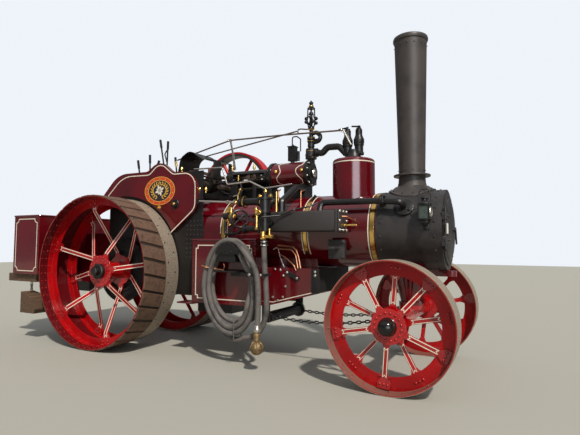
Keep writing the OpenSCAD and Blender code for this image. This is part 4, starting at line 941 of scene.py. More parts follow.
def exhaustFlanges():
    middle = boilerCentre + exhaustOut * 0.4275
    plate = turnedShape([(0, 0), (96, 0), (98, 4), (98, 16), (92, 20), (40, 22), (0, 22)], 36)
    points, faces = put(plate, middle, exhaustOut)
    points[:, 0] = (points[:, 0] - middle.x) * 1.05 + middle.x  # a little oval
    shapes = [(points, faces)]
    along = Vector(ahead)
    across = exhaustOut.cross(along)
    for turn in map(math.radians, (100, 215, 325)):
        place = middle + exhaustOut * 0.02 + (along * math.cos(turn) + across * math.sin(turn)) * 0.076
        shapes.append(put(bolt, place, exhaustOut, 0.014))
    flange = turnedShape([(30, 0), (62, 0), (64, 3), (64, 15), (62, 18), (30, 18)], 28)
    shapes += heads(flange, [(x, -434, 1806) for x in (3632, 3654)], ahead, 1)
    spots = [(3672, -434 + 50 * math.cos(k), 1806 + 50 * math.sin(k)) for k in (0.4, 1.97, 3.54, 5.11)]
    shapes += heads(bolt, spots, ahead, 0.011)
    piece("exhaustFlanges", shapes, "iron")


boilerLines()
chimneyPiece()
doorFittings()
exhaustFlanges()
smokeboxRivets()
print("boiler lined and riveted")


# Tanks and gear cover: lining, rivets, rims

tanks = {
    "line": 0.0115, "notch": (30, 36), "rivet": 0.0085, "bite": 55, "coverY": -502.9,
    "tailSide": (-1555, -1085), "tailBack": (-990, 990), "tailZ": (965, 1695),
    "coverLine": [(860, 1500, 60), (1250, 1806, 150), (1250, 2263, 240), (876, 2263, 126), (650, 2437, 180),
                  (462, 2279, 126), (-30, 2288, 420), (-432, 1930, 0)],  # x, z and bend
}


def notched(x0, x1, z0, z1, side, y):  # closed lining with a small square step at each corner
    a, b = tanks["notch"]
    spots = [(x0 + a, z0), (x1 - a, z0), (x1 - a, z0 + b), (x1, z0 + b), (x1, z1 - b), (x1 - a, z1 - b),
             (x1 - a, z1), (x0 + a, z1), (x0 + a, z1 - b), (x0, z1 - b), (x0, z0 + b), (x0 + a, z0 + b)]
    return lineShape([(x, side * y, z) for x, z in spots], (0, side, 0), tanks["line"], closed=True)


def scalloped(ends, place, normal):  # closed lining whose corners are bitten out in an arc
    (u0, u1), (z0, z1), bite = ends, tanks["tailZ"], tanks["bite"]
    spots = []
    for u, z, first in ((u1, z0, 180), (u1, z1, 270), (u0, z1, 0), (u0, z0, 90)):
        for k in range(7):
            a = math.radians(first - 15 * k)
            spots.append((u + bite * math.cos(a), z + bite * math.sin(a)))
    return lineShape([place(u, z) for u, z in spots], normal, tanks["line"], closed=True)


def coverPath():  # outline of the gear cover's lining, whose corners have their own bends
    points = [Vector((x, 0, z)) for x, z, _ in tanks["coverLine"]]
    out = [points[0]]
    for i in range(1, len(points) - 1):
        out += rounded([out[-1], points[i], points[i + 1]], tanks["coverLine"][i][2], steps=8)[1:-1]
    return out + [points[-1]]


def tankLines():
    lines = []
    for side in (-1, 1):
        lines.append(notched(1412, 2205, 706, 1336, side, 660))
        lines.append(scalloped(tanks["tailSide"], lambda u, z: at(u, side * 1045, z), (0, side, 0)))
        lines.append(lineShape([(x, side * 454.6, z) for x, z in ((2270, 690), (2372, 690), (2860, 818))],
                               (0, side, 0), 0.009))
    lines.append(scalloped(tanks["tailBack"], lambda u, z: at(-1600, u, z), behind))
    lines.append(lineShape([(point.x, tanks["coverY"], point.z) for point in coverPath()], toRight, 0.0125))
    piece("tankLines", lines, "cream", smooth=0)


def tankRivets():
    rivets, size = [], tanks["rivet"]
    for side in (-1, 1):
        outward = (0, side, 0)
        sideTank = [(x, side * 660, z) for z in range(680, 1390, 37) for x in (1376, 2238)]
        rivets += heads(dome, sideTank, outward, size)
        rivets += heads(dome, [(x, side * 666, 660) for x in range(1400, 2230, 42)], outward, 0.006)
        tail = [(x, z) for x in range(-1580, -1050, 44) for z in (940, 1720)]
        tail += [(x, z) for z in range(975, 1700, 44) for x in (-1580, -1060)]
        rivets += heads(dome, [(x, side * 1045, z) for x, z in tail], outward, size)
    back = [(y, z) for y in range(-1020, 1030, 60) for z in (940, 1720)]
    back += [(y, z) for z in range(975, 1700, 44) for y in (-1022, 1022)]
    rivets += heads(dome, [(-1600, y, z) for y, z in back], behind, size)
    piece("tankRivets", rivets, "maroon")
    rims = []
    for side in (-1, 1):
        rims += [pipeShape([(1352, side * 654, 1400), (2262, side * 654, 1400)], 0.015),
                 pipeShape([(1356, side * 460, 1400), (1356, side * 654, 1400)], 0.015)]
    edge = [(x, y, 1740) for x, y in ((-1600, -1045), (-1600, 1045), (-1040, 1045), (-1040, -1045))]
    piece("tankRims", rims + [pipeShape(edge + edge[:1], 0.012, 0.03)], "maroon")


tankLines()
tankRivets()

badge = {
    "middle": (652, 2056), "half": (260, 186), "ring": 0.76,
    "leaves": 9, "leafSize": 46, "leafTilts": (-38, 38), "beads": 14, "bead": 0.007,
}


def onBadge(across, up, lift=0.0):  # a place in millimetres from the badge's middle
    return at(badge["middle"][0] + across, tanks["coverY"] - lift, badge["middle"][1] + up)


def ovalShape(share, extra, high, inside=0.0, steps=56):  # flat oval plate, or a ring when it has an inside
    wide, tall = (half * share + extra for half in badge["half"])
    rows = [(1, -0.4), (1, 0.8), (inside, 0.8)] + [(inside, -0.4)] * (inside > 0)
    points = []
    for k in range(steps):
        u, v = wide * math.cos(math.tau * k / steps), tall * math.sin(math.tau * k / steps)
        points += [onBadge(u * reach, v * reach, high * up) for reach, up in rows]
    if inside:
        return np.array(points), skin(steps, 4, closed=True)
    faces = []
    for k in range(steps):
        a, b = 3 * k, 3 * ((k + 1) % steps)
        faces += [(a + i, a + (i + 1) % 3, b + (i + 1) % 3, b + i) for i in range(2)] + [(a, b, 3 * steps)]
    return np.array(points + [onBadge(0, 0, -high * 0.4)]), faces


def leafShape(across, up, turn, size, wide=0.34):  # a small pointed leaf that lies on the badge
    outline = [(0, 0), (0.25, 0.8), (0.55, 1), (0.8, 0.6), (1, 0), (0.8, -0.6), (0.55, -1), (0.25, -0.8)]
    a = math.radians(turn)
    points = []
    for lift in (0.2, 1.9):
        for u, v in outline:
            du, dv = u * size, v * wide * size / 2
            points.append(onBadge(across + du * math.cos(a) - dv * math.sin(a),
                                  up + du * math.sin(a) + dv * math.cos(a), lift))
    return np.array(points), skin(2, len(outline))


def makeBadge():
    (wide, high), share = badge["half"], badge["ring"]
    piece("badgeRing", [ovalShape(1, 0, 1.0, share)], "orange", smooth=0)
    piece("badgeField", [ovalShape(share, 1, 0.9)], "night", smooth=0)
    gold = [ovalShape(1, 5, 1.5, 0.965), ovalShape(share, 5, 1.5, 0.95)]
    for side in (-1, 1):  # two sprays of leaves that meet below
        for k in range(badge["leaves"]):
            a = math.radians(-72 + 19 * k)
            for turn in (math.degrees(a) + 90 + tilt for tilt in badge["leafTilts"]):
                gold.append(leafShape(side * wide * 0.5 * math.cos(a), high * 0.52 * math.sin(a),
                                      turn if side > 0 else 180 - turn, badge["leafSize"]))
    for k in range(badge["beads"]):
        a = math.tau * (k + 0.5) / badge["beads"]
        spot = onBadge(wide * 0.88 * math.cos(a), high * 0.88 * math.sin(a))
        gold.append(put(dome, spot, toRight, badge["bead"]))
    gold += [leafShape(0, -high - 6, -90 + 32 * (k - 1), 52) for k in range(3)]
    piece("badgeGold", gold, "gold", smooth=0)
    star = [leafShape(0, 6, 45 * k + 22.5, 62 if k % 2 else 84, 0.42) for k in range(8)]
    piece("badgeStar", star, "cream", smooth=0)


makeBadge()
print("tanks and gear cover lined")


# Cylinder and motion: lining, studs, oil cups, brass fittings

cylinder = {
    "radius": 150, "z": 2225,
    # outline of the lining, as places along the barrel and degrees round it
    "line": [
        (2298, 69), (2262, 56.4), (2243, 48.3), (2262, 31.8), (2276, 22.7), (2288, 11.9), (2284, 2.3),
        (2256, -10), (2234, -18.7), (2234, -34.5), (2249, -48.9), (2278, -56.4), (2314, -59.3), (2483, -66),
        (2520, -64.2), (2558, -62.5), (2576, -52.5), (2576, -38.3), (2559, -27.4), (2526, -12.7),
        (2511, -6.1), (2500, 5.7), (2504, 18.7), (2530, 30), (2572, 38.3), (2586, 50.1), (2580, 69),
        (2540, 80), (2440, 82), (2340, 80)],
    "lineWidth": 0.0105, "domes": ((2224, 2581), (9, 171)), "domeSize": 0.026,
    # number, place along the barrel, radius, direction and size of the studs round each end
    "studs": [(10, 2650, 0.143, ahead, 0.0105), (10, 2110, 0.153, behind, 0.008)],
}


def onCylinder(x, turn, radius):  # a place round the cylinder, and the way out there
    a = math.radians(turn)
    out = Vector((0, -math.cos(a), math.sin(a)))
    return at(x, 0, cylinder["z"]) + out * radius, out


def cylinderDetail():
    fine = []
    for (xa, aa), (xb, ab) in zip(cylinder["line"], cylinder["line"][1:] + cylinder["line"][:1]):
        count = max(int(abs(ab - aa) / 6), 1)
        fine += [onCylinder(xa + (xb - xa) * k / count, aa + (ab - aa) * k / count, cylinder["radius"] / 1000)
                 for k in range(count)]
    places, normals = zip(*fine)
    line = lineShape(places, list(normals), cylinder["lineWidth"], closed=True)
    piece("cylinderLine", [line], "cream", smooth=0)
    xs, turns = cylinder["domes"]
    spots = [onCylinder(x, turn, 0.149) for x in xs for turn in turns]
    piece("cylinderDomes", [put(dome, place, out, cylinder["domeSize"]) for place, out in spots], "brass")
    studs = []
    for number, x, reach, toward, size in cylinder["studs"]:
        row = ring(number, reach, at(x, 0, cylinder["z"]), sideways, upward)
        studs += [put(bolt, place, toward, size) for place, _ in row]
    piece("cylinderStuds", studs, "steel")
    cover = turnedShape([(0, 16), (30, 16), (46, 10), (52, 0), (0, 0)], 32)
    piece("cylinderCoverBoss", [put(cover, (2686, 0, cylinder["z"]), ahead)], "steel")


fittings = {
    # shape, place, direction and size of the small brass pieces
    "cups": [(oilCup, (1470, 0, 2332), upward, 1.1), (oilCup, (1815, 0, 2320), upward, 1.1),
             (oilCup, (1626, -84, 2181), upward, 0.9), (ballCup, (981, -446, 2290), upward, 1.3),
             (oilCup, (879, -446, 2360), upward, 1.0), (ballCup, (1281, -445, 2006), upward, 1.35),
             (ballCup, (1378, -445, 1998), upward, 1.35), (nut, (1861, -500, 1852), ahead, 1.1),
             (nut, (1905, -500, 1852), ahead, 1.0), (ballCup, (1925, -500, 1968), (0.3, 0, 1), 1.0),
             (nut, (2352, -790, 1664), upward, 1.2), (nut, (2352, -790, 1506), upward, 1.2),
             (nut, (2400, -812, 1693), toRight, 1.4), (ballCup, (2340, -790, 1690), upward, 1.2),
             (nut, (2262, -560, 1902), behind, 1.2), (nut, (2383, -560, 1898), ahead, 1.2),
             (ballCup, (2322, -560, 1910), upward, 1.3)],
    # radius, bend and route of the pipes
    "brassPipes": [(0.009, 0, [(1998, -560, 1815), (2008, -562, 1870), (2022, -560, 1912)]),
                   (0.009, 0.01, [(1900, -500, 1860), (1906, -500, 1930), (1927, -500, 1990)]),
                   (0.016, 0, [(2352, -790, 1520), (2352, -790, 1672)]),
                   (0.014, 0, [(2400, -800, 1693), (2352, -790, 1700)]),
                   (0.008, 0, [(2546, -700, 1705), (2546, -700, 1930)]),
                   (0.015, 0, [(2256, -560, 1902), (2389, -560, 1898)])],
    "copperPipes": [(0.0085, 0.05, [(2440, -470, 1338), (2626, -470, 1327), (2678, -470, 1281),
                                    (2710, -470, 1191), (2730, -470, 1085)]),
                    (0.0085, 0.05, [(2440, -470, 1299), (2618, -470, 1290), (2668, -470, 1230),
                                    (2698, -470, 1085)]),
                    (0.0075, 0.04, [(2462, -470, 1240), (2540, -470, 1200), (2601, -470, 1154),
                                    (2650, -470, 1110), (2672, -470, 1060)]),
                    (0.008, 0.03, [(3284, -640, 1640), (3330, -600, 1640), (3372, -480, 1600),
                                   (3372, -418, 1590)]),
                    (0.0085, 0.03, [(2431, -452, 1739), (2431, -450, 1965), (2431, -400, 1990)]),
                    (0.0085, 0.03, [(2722, -452, 1753), (2722, -450, 1950), (2722, -380, 1970)])],
    "blackPipes": [(0.0085, 0.04, [(2956, -500, 1812), (2872, -560, 1762), (2774, -735, 1719),
                                   (2623, -738, 1662), (2452, -856, 1642), (2416, -856, 1608),
                                   (2417, -840, 1520)]),
                   (0.016, 0, [(2904, -450, 1895), (2854, -452, 1840)]),
                   (0.008, 0.02, [(2410, -60, 2560), (2410, -60, 2689), (2474, -60, 2689), (2524, -60, 2652),
                                  (2524, -60, 2498)])],
    "darkRods": [(0.0105, 0.05, [(522, -20, 2560), (1440, -20, 2756), (2300, -76, 2724), (3046, -60, 2700)]),
                 (0.0095, 0.05, [(584, 0, 2501), (1114, 0, 2590), (2459, 0, 2774)]),
                 (0.009, 0.01, [(2459, 0, 2742), (2459, 0, 2792), (2500, 0, 2794), (2590, 0, 2779)]),
                 (0.009, 0, [(2510, -308, 2060), (2510, -70, 2060)])],
    "brightRods": [(0.0105, 0.03, [(1060, -300, 2347), (1520, -300, 2335), (1600, -300, 2110),
                                   (1940, -300, 2130), (2150, -300, 2030), (2530, -300, 2062)]),
                   (0.013, 0, [(1300, -500, 1892), (1928, -500, 1852)]),
                   (0.013, 0, [(3086, -70, 2700), (3186, -70, 2512)])],
    # foot, head and side of each lever
    "levers": [((136, 2160), (66, 2543), -330), ((250, 2160), (233, 2619), -270),
               ((240, 2160), (392, 2528), -250), ((452, 2160), (309, 2853), -150),
               ((400, 2160), (420, 2829), -110), ((560, 2160), (500, 2600), -41),
               ((600, 2160), (560, 2560), 20)],
    "leverGrip": 0.12,
    "handWheel": (1992, -588, 1648), "handWheelHalf": (0.068, 0.073, 0.1),
}


def pipes(rows):
    return [pipeShape(route, radius, bend) for radius, bend, route in rows]


def brassFittings():
    cups = [put(*row) for row in fittings["cups"]]
    cups += [put(turnedShape([(58, 0), (r, 0), (r, high), (58, high)], 28), (x, -500, 1852), ahead)
             for x, r, high in ((2000, 72, 10), (2240, 64, 8))]
    piece("brassFittings", cups + pipes(fittings["brassPipes"]), "brass")
    # gold valve beside the firebox band
    valve = [put(turnedShape([(0, 0), (30, 0), (42, 12), (42, 52), (30, 64), (20, 70), (20, 84), (0, 84)]),
                 (1873, -540, 1680), toRight),
             put(turnedShape([(0, 0), (26, 0), (34, 10), (34, 40), (22, 52), (22, 90), (0, 90)]),
                 (1840, -560, 1690), ahead),
             put(turnedShape([(0, 0), (20, 0), (26, 8), (26, 30), (16, 40), (16, 64), (0, 64)]),
                 (1850, -560, 1722)),
             put(turnedShape([(0, 0), (24, 0), (24, 16), (15, 20), (15, 60), (24, 64), (24, 80), (0, 80)]),
                 (1790, -548, 1640), (0.5, 0, -0.9))]
    piece("goldValve", valve, "brass")
    rise = turnedShape([(0, 0), (30, 0), (34, 6), (34, 20), (26, 26), (26, 66), (32, 70), (32, 84), (0, 84)])
    arm = turnedShape([(0, 0), (24, 0), (24, 14), (17, 18), (17, 74), (24, 78), (24, 100), (0, 100)])
    stem = turnedShape([(0, 0), (12, 0), (12, 60), (16, 64), (16, 78), (0, 78)])
    elbow = [put(rise, (2442, -808, 1402)), put(arm, (2456, -806, 1432), ahead),
             put(stem, (2517, -800, 1440))]
    piece("hoseElbow", elbow, "brass")
    coupling = turnedShape([(0, 0), (40, 0), (44, 5), (44, 20), (38, 26), (38, 40), (42, 44), (42, 56),
                            (0, 56)], 32)
    foot = turnedShape([(0, 0), (36, 0), (40, 6), (40, 46), (36, 52), (36, 70), (0, 70)], 32)
    piece("hoseCouplings", [put(coupling, (2434, -770, 1330)), put(foot, (2421, -880, 425))], "steel")
    middle = at(*fittings["handWheel"])
    wide, deep, high = fittings["handWheelHalf"]
    turns = [math.tau * k / 32 for k in range(32)]
    rim = [middle + Vector((wide * math.cos(a), deep * math.cos(a), high * math.sin(a))) for a in turns]
    wheel = [pipeShape(rim + rim[:1], 0.0125)] + [pipeShape([middle, rim[k]], 0.009) for k in range(4, 32, 8)]
    wheel += [pipeShape([(1925, -560, 1672), middle], 0.011), put(nut, middle, (0.73, -0.68, 0))]
    piece("valveHandWheel", wheel, "iron")


def heaterPiece():
    body = [boxShape((2445, -716, 1488), (3242, -484, 1706), 0.026),
            boxShape((3236, -726, 1478), (3262, -474, 1716), 0.007),
            boxShape((3263, -722, 1482), (3284, -478, 1712), 0.009)]
    body += [boxShape((x, -490, 1520), (x + 60, -398, 1592), 0.004) for x in (2525, 2975)]
    piece("feedHeater", body, "heater", replaces=["feed_heater"])
    spots = [(3284, y, z) for y in (-700, -600, -500) for z in (1501, 1693)]
    spots += [(3284, y, 1597) for y in (-702, -498)]
    piece("heaterBolts", heads(bolt, spots, ahead, 0.0125), "steel")
    rod = [pipeShape([(3284, -600, 1552), (3430, -600, 1552)], 0.011), put(nut, (3284, -600, 1552), ahead)]
    piece("heaterRod", rod, "brass")


def steamPipes():
    toSmokebox = [(2960, -470, 1712), (2960, -430, 1812), (3560, -430, 1808),
                  boilerCentre + exhaustOut * 0.54, boilerCentre + exhaustOut * 0.431]
    toGovernor = [(3092, 0, 2434), (3010, 0, 2524), (2860, 0, 2529), (2790, 0, 2459), (2728, 0, 2475)]
    toHeater = [(2565, -70, 2025), (2565, -260, 2025), (2550, -470, 1890), (2540, -570, 1830),
                (2540, -570, 1706)]
    flange = turnedShape([(0, 0), (52, 0), (54, 3), (54, 21), (52, 24), (0, 24)], 28)
    shapes = [pipeShape(toGovernor, 0.04, 0.07, 3), pipeShape(toSmokebox, 0.034, 0.06, 3),
              pipeShape(toHeater, 0.042, 0.05, 3), put(discShape(52, 12), (2960, -470, 1706)),
              put(discShape(60, 14), (2540, -570, 1706)),
              put(flange, (2706, 0, 2475), ahead)]
    piece("steamPipes", shapes, "iron", replaces=["steam_pipes"])


def safetyValves():  # two of them, one before the other
    valve = turnedShape([(0, 0), (50, 0), (50, 90), (58, 100), (58, 122), (62, 128), (62, 168), (56, 182),
                         (46, 206), (40, 226), (40, 286), (30, 296), (30, 308), (12, 312), (12, 336),
                         (0, 338)], 32)
    foot = turnedShape([(0, 0), (126, 0), (130, 4), (130, 20), (126, 24), (92, 30), (66, 84), (66, 120),
                        (0, 120)], 40)
    shapes = heads(valve, [(3116, 0, 2412), (3256, 0, 2412)], upward, 1)
    shapes += [put(foot, (3190, 0, 2344)), boxShape((3070, -48, 2396), (3306, 48, 2440), 0.012),
               pipeShape([(3020, -46, 2712), (3130, -46, 2724)], 0.011),
               pipeShape([(3180, -34, 2738), (3286, -34, 2726)], 0.01)]
    piece("safetyValves", shapes, "iron", replaces=["safety_valves"])


def controlRods():
    dark = pipes(fittings["darkRods"])
    dark += [boxShape((1296, -453.5, 2240), (1314, -292, 2280), 0.002),
             boxShape((1296, -308, 2240), (1314, -292, 2350), 0.002), put(nut, (1440, -20, 2740), size=1.3)]
    piece("controlRods", dark, "oiled", replaces=["control_rods"])
    bright = pipes(fittings["brightRods"])
    bright += [put(nut, (1760, -520, 1862), sideways, 1.1), put(ballCup, (3060, -60, 2676), size=0.9)]
    piece("brightRods", bright, "steel")


def leverPiece():
    shapes = [boxShape((110, -453.5, 2150), (640, 41, 2166), 0.004)]
    for (x0, z0), (x1, z1), y in fittings["levers"]:
        foot, head = at(x0, y, z0), at(x1, y, z1)
        grip = foot + (head - foot) * (1 - fittings["leverGrip"] / (head - foot).length)
        shapes += [pipeShape([foot, grip], 0.0115), pipeShape([grip, head], 0.0165)]
    shapes += [boxShape((x, -453.5, 1830), (x + 40, -438, 2150), 0.003) for x in (190, 420)]
    shapes.append(pipeShape([(430, -130, 2500), (380, -128, 2640), (400, -112, 2700)], 0.009, 0.02))
    piece("footplateLevers", shapes, "iron", replaces=["levers"])


def hornRivets():
    rivets = []
    for side, lowest in ((-1, 1180), (1, 780)):
        spots = [(x, side * 454.6, z) for x in range(1095, 1330, 56) for z in range(lowest, 1700, 58)]
        rivets += heads(dome, spots, (0, side, 0), 0.0105)
    piece("hornplateRivets", rivets, "heater")


def shaftEnd():
    rim = turnedShape([(38, 0), (62, 0), (62, 8), (56, 14), (38, 14)], 40)
    centre = turnedShape([(0, 24), (14, 22), (24, 14), (28, 0), (0, 0)], 32)
    piece("shaftRing", [put(rim, (930, tanks["coverY"], 1870), toRight)], "iron")
    piece("shaftCentre", [put(centre, (930, -532, 1870), toRight, 0.8)], "brass")


cylinderDetail()
brassFittings()
piece("copperPipes", pipes(fittings["copperPipes"]), "copper")
piece("smallBlackPipe", pipes(fittings["blackPipes"]), "iron")
heaterPiece()
steamPipes()
safetyValves()
controlRods()
leverPiece()
hornRivets()
shaftEnd()
print("fittings placed")


# Belly end, valve gear, hose fittings, lanterns, governor and chains


def prism(outline, y0, y1):  # an outline of x and z between two planes across the engine
    points = [at(x, y, z) for y in (y0, y1) for x, z in outline]
    return np.array(points), skin(2, len(outline))


def bellyDetail():
    # painted shade: a matt near-black sheet over the front face of the belly tank, which lies in shadow, with
    # the brackets beside it in the same black
    cover = [boxShape((2931, -448, 823), (2953, 448, 1083), 0.004)]
    half = Vector((0.012, 0.016, 0.018))
    for side in (-1, 1):
        y0, y1 = sorted((side * 454.8, side * 472))
        cover.append(prism([(2528, 1030), (2556, 1062), (2704, 986), (2704, 948), (2680, 946)], y0, y1))
        cover.append(boxShape((2862, y0, 820), (2953, y1 - 6 * (side > 0), 1083), 0.003))
        cover += [boxShape(place - half, place + half, 0.003)
                  for place in (at(2060 + 60 * k, side * 440, 632) for k in range(5))]
    piece("bellyEndShade", cover, "shade")
    face = ((2395, 1068), (2463, 1060), (2503, 996), (2530, 876), (2365, 746), (2432, 709), (2498, 754))
    plate = ((2560, 1034), (2682, 972), (2906, 1050), (2906, 1010))
    bolts = heads(bolt, [(x, -454.8, z) for x, z in face], toRight, 0.011)
    piece("bellyBolts", bolts + heads(bolt, [(x, -472, z) for x, z in plate], toRight, 0.012), "steel")
    pad = [boxShape((3060, -474, 1196), (3250, -452, 1404), 0.008),
           boxShape((3128, -640, 1300), (3192, -470, 1330), 0.006),
           boxShape((3070, -456, 1210), (3240, -392, 1390), 0.004)]
    spots = ((3080, 1382), (3226, 1372), (3088, 1216), (3226, 1218))
    piece("heaterPad", pad + heads(bolt, [(x, -474, z) for x, z in spots], toRight, 0.013), "heater")
    drain = [(2367, -452, 1290), (2422, -440, 1320), (2457, -452, 1210), (2517, -458, 1092)]
    piece("barrelPipe", [pipeShape(drain, 0.0055, 0.02)], "steel")


def valveGear():  # eccentric rods, link, weigh shaft and guides, dark under the trunk
    low = -60
    link = [at(1610 + 52 * math.cos(math.radians(a)), low, 2072 + 100 * math.sin(math.radians(a)))
            for a in range(-80, 81, 16)]
    dark = [pipeShape(link, 0.017)]
    strap = turnedShape([(52, -18), (98, -18), (98, 18), (52, 18)], 32)
    for y, z in ((-96, 2150), (-24, 2005)):
        dark.append(pipeShape([(1186, y, 2150 - 0.2 * (2150 - z)), (1400, y, z + 20), (1652, low, z)], 0.016))
        dark.append(put(strap, (1120, y, 2150), sideways))
    dark += [pipeShape([(1660, low, 2072), (2136, low, 2078)], 0.014),
             pipeShape([(1560, -200, 1968), (1560, 200, 1968)], 0.02),
             pipeShape([(1560, -130, 1968), (1640, low, 2004)], 0.013)]
    dark += [boxShape(first, last, soft) for first, last, soft in
             (((1850, -100, 1936), (1902, 150, 2112), 0.006), ((1530, 60, 1925), (1590, 96, 2120), 0.006),
              ((1352, 30, 1940), (2128, 150, 1966), 0.004), ((1990, -70, 1936), (2120, 140, 2066), 0.008),
              ((1400, 70, 1960), (2120, 90, 2140), 0.004))]
    piece("valveGear", dark, "iron")


def hoseKeepers():
    clip = [(0.009, 0.02, [(1618, -722, 1108), (1640, -846, 1106), (1712, -846, 1086), (1846, -700, 1052)]),
            (0.007, 0.01, [(1846, -700, 1052), (1862, -700, 1090), (1850, -700, 1128)])]
    piece("hoseClip", pipes(clip), "copper")
    band = [boxShape((2206, -846, 1006), (2474, -838, 1034), 0.002),
            boxShape((2474, -846, 1006), (2482, -700, 1034), 0.002),
            boxShape((2180, -846, 1000), (2206, -664, 1040), 0.003),
            boxShape((1795, -842, 1036), (2120, -664, 1050), 0.003)]
    piece("hoseBand", band, "iron")
    bolts = heads(bolt, [(1944, -852, 1262), (2052, -852, 1262)], toRight, 0.013)
    spots = ((1872, 1278), (1910, 1330), (1970, 1356), (2030, 1356), (2088, 1328), (2124, 1276))
    piece("saddleBolts", bolts + heads(dome, [(x, -852, z) for x, z in spots], toRight, 0.009), "iron")
    loop = [(2100, y, z) for y, z in ((-700, 285), (-700, 515), (-848, 515), (-848, 285), (-700, 285))]
    piece("hoseTie", [pipeShape(loop, 0.006, 0.03)], "hose")
    nuts = [put(nut, (2300, -848, 1020), toRight, 0.8), put(nut, (2440, -848, 1020), toRight, 0.7)]
    piece("bandNuts", nuts, "steel")


strainer = {"middle": (2417, -880, 262), "radius": 74, "ribRadius": 0.075}


def strainerPiece():  # ball under the end of the hose, with its neck and ribs
    radius, middle = strainer["radius"], strainer["middle"]
    ballRows = [(radius * math.cos(t), radius * math.sin(t)) for t in map(math.radians, range(-75, 76, 15))]
    neck = [(34, 72), (35, 80), (35, 118), (42, 122), (42, 138), (36, 144), (36, 172), (0, 172)]
    shapes = [put(turnedShape([(0, -radius)] + ballRows + neck, 36), middle),
              put(turnedShape([(72, -5), (78, -5), (78, 5), (72, 5)], 40), middle)]
    for a in map(math.radians, (0, 60, 120)):
        rib = [at(*middle) + Vector((math.cos(a) * math.cos(t), math.sin(a) * math.cos(t), math.sin(t)))
               * strainer["ribRadius"] for t in map(math.radians, range(-90, 271, 15))]
        shapes.append(pipeShape(rib, 0.0035))
    return piece("hoseStrainer", shapes, "oldBrass", replaces=["hose_strainer"])


lantern = {"side": 494, "face": 4141, "middle": 1671, "hoodPlace": (4090, 1748)}


def lanternPieces():
    panes, black, silver = [], [], []
    lens = turnedShape([(0, 12), (16, 11), (34, 6), (44, 0), (0, 0)], 32)
    rim = turnedShape([(43, -3), (52, -3), (55, 3), (52, 13), (44, 15), (43, 8)], 32)
    hood = turnedShape([(0, 0), (66, 0), (68, 4), (60, 18), (36, 34), (30, 36), (30, 50), (40, 54), (40, 60),
                        (20, 76), (0, 80)], 28)
    for side in (-1, 1):
        y = side * lantern["side"]
        front = (lantern["face"], y, lantern["middle"])
        panes += [boxShape((4040, y - 49, 1602), (4140, y + 49, 1740), 0.004), put(lens, front, ahead)]
        silver.append(put(rim, front, ahead))
        black += [boxShape((4032, y - 57, z - 7), (4148, y + 57, z + 7), 0.003) for z in (1600, 1742)]
        black += [boxShape((x - 7, y + k - 7, 1596), (x + 7, y + k + 7, 1746), 0.002)
                  for x in (4040, 4140) for k in (-50, 50)]
        inner, foot = y - side * 50, sorted((side * 411, side * 470))
        handle = [(4038, 1742), (4028, 1836), (4056, 1897), (4124, 1897), (4152, 1836), (4142, 1742)]
        black += [boxShape((4034, inner - 2, 1600), (4146, inner + 2, 1742), 0.002),
                  put(hood, (lantern["hoodPlace"][0], y, lantern["hoodPlace"][1])),
                  pipeShape([(x, y, z) for x, z in handle], 0.005, 0.03),
                  boxShape((4056, y - 46, 1560), (4124, y + 46, 1594), 0.006),
                  boxShape((4062, side * 423 - 12, 1496), (4118, side * 423 + 12, 1560), 0.004),
                  boxShape((4074, foot[0], 1548), (4106, foot[1], 1572), 0.004),
                  put(bolt, (4090, side * 435, 1520), (0, side, 0), 0.011)]
    piece("lanternGlass", panes, "glass", smooth=0)
    piece("lanternBodies", black, "iron", replaces=["lanterns"])
    piece("lanternRims", silver, "steel")


governor = {
    "x": 2640,
    "rings": ((2417, 68), (2491, 66), (2617, 50), (2657, 49), (2767, 37)),  # height and radius
    "bars": [(30, 2784), (40, 2840), (50, 2900), (43, 2960), (41, 3028)],  # radius and height
    "ballPlace": (60, 2908), "ballSize": 0.024,
    "cap": [(0, 0), (46, 0), (50, 4), (46, 14), (34, 22), (20, 26), (20, 60), (26, 66), (26, 84), (10, 94),
            (10, 104), (0, 106)],
    "chest": [(0, 0), (30, 0), (42, 8), (44, 20), (40, 60), (44, 66), (44, 80), (30, 92), (30, 120),
              (0, 120)],
    "boltTurns": (0.5, 1.55, 2.6, 3.65, 4.7, 5.75),
    "elbow": [(2650, 0, 2716), (2716, -6, 2728), (2778, -6, 2672), (2744, -6, 2612), (2664, 0, 2604)],
    "link": [(1444, 2752), (1468, 2752), (1516, 2548), (1552, 2344), (1520, 2336), (1490, 2545)],
}


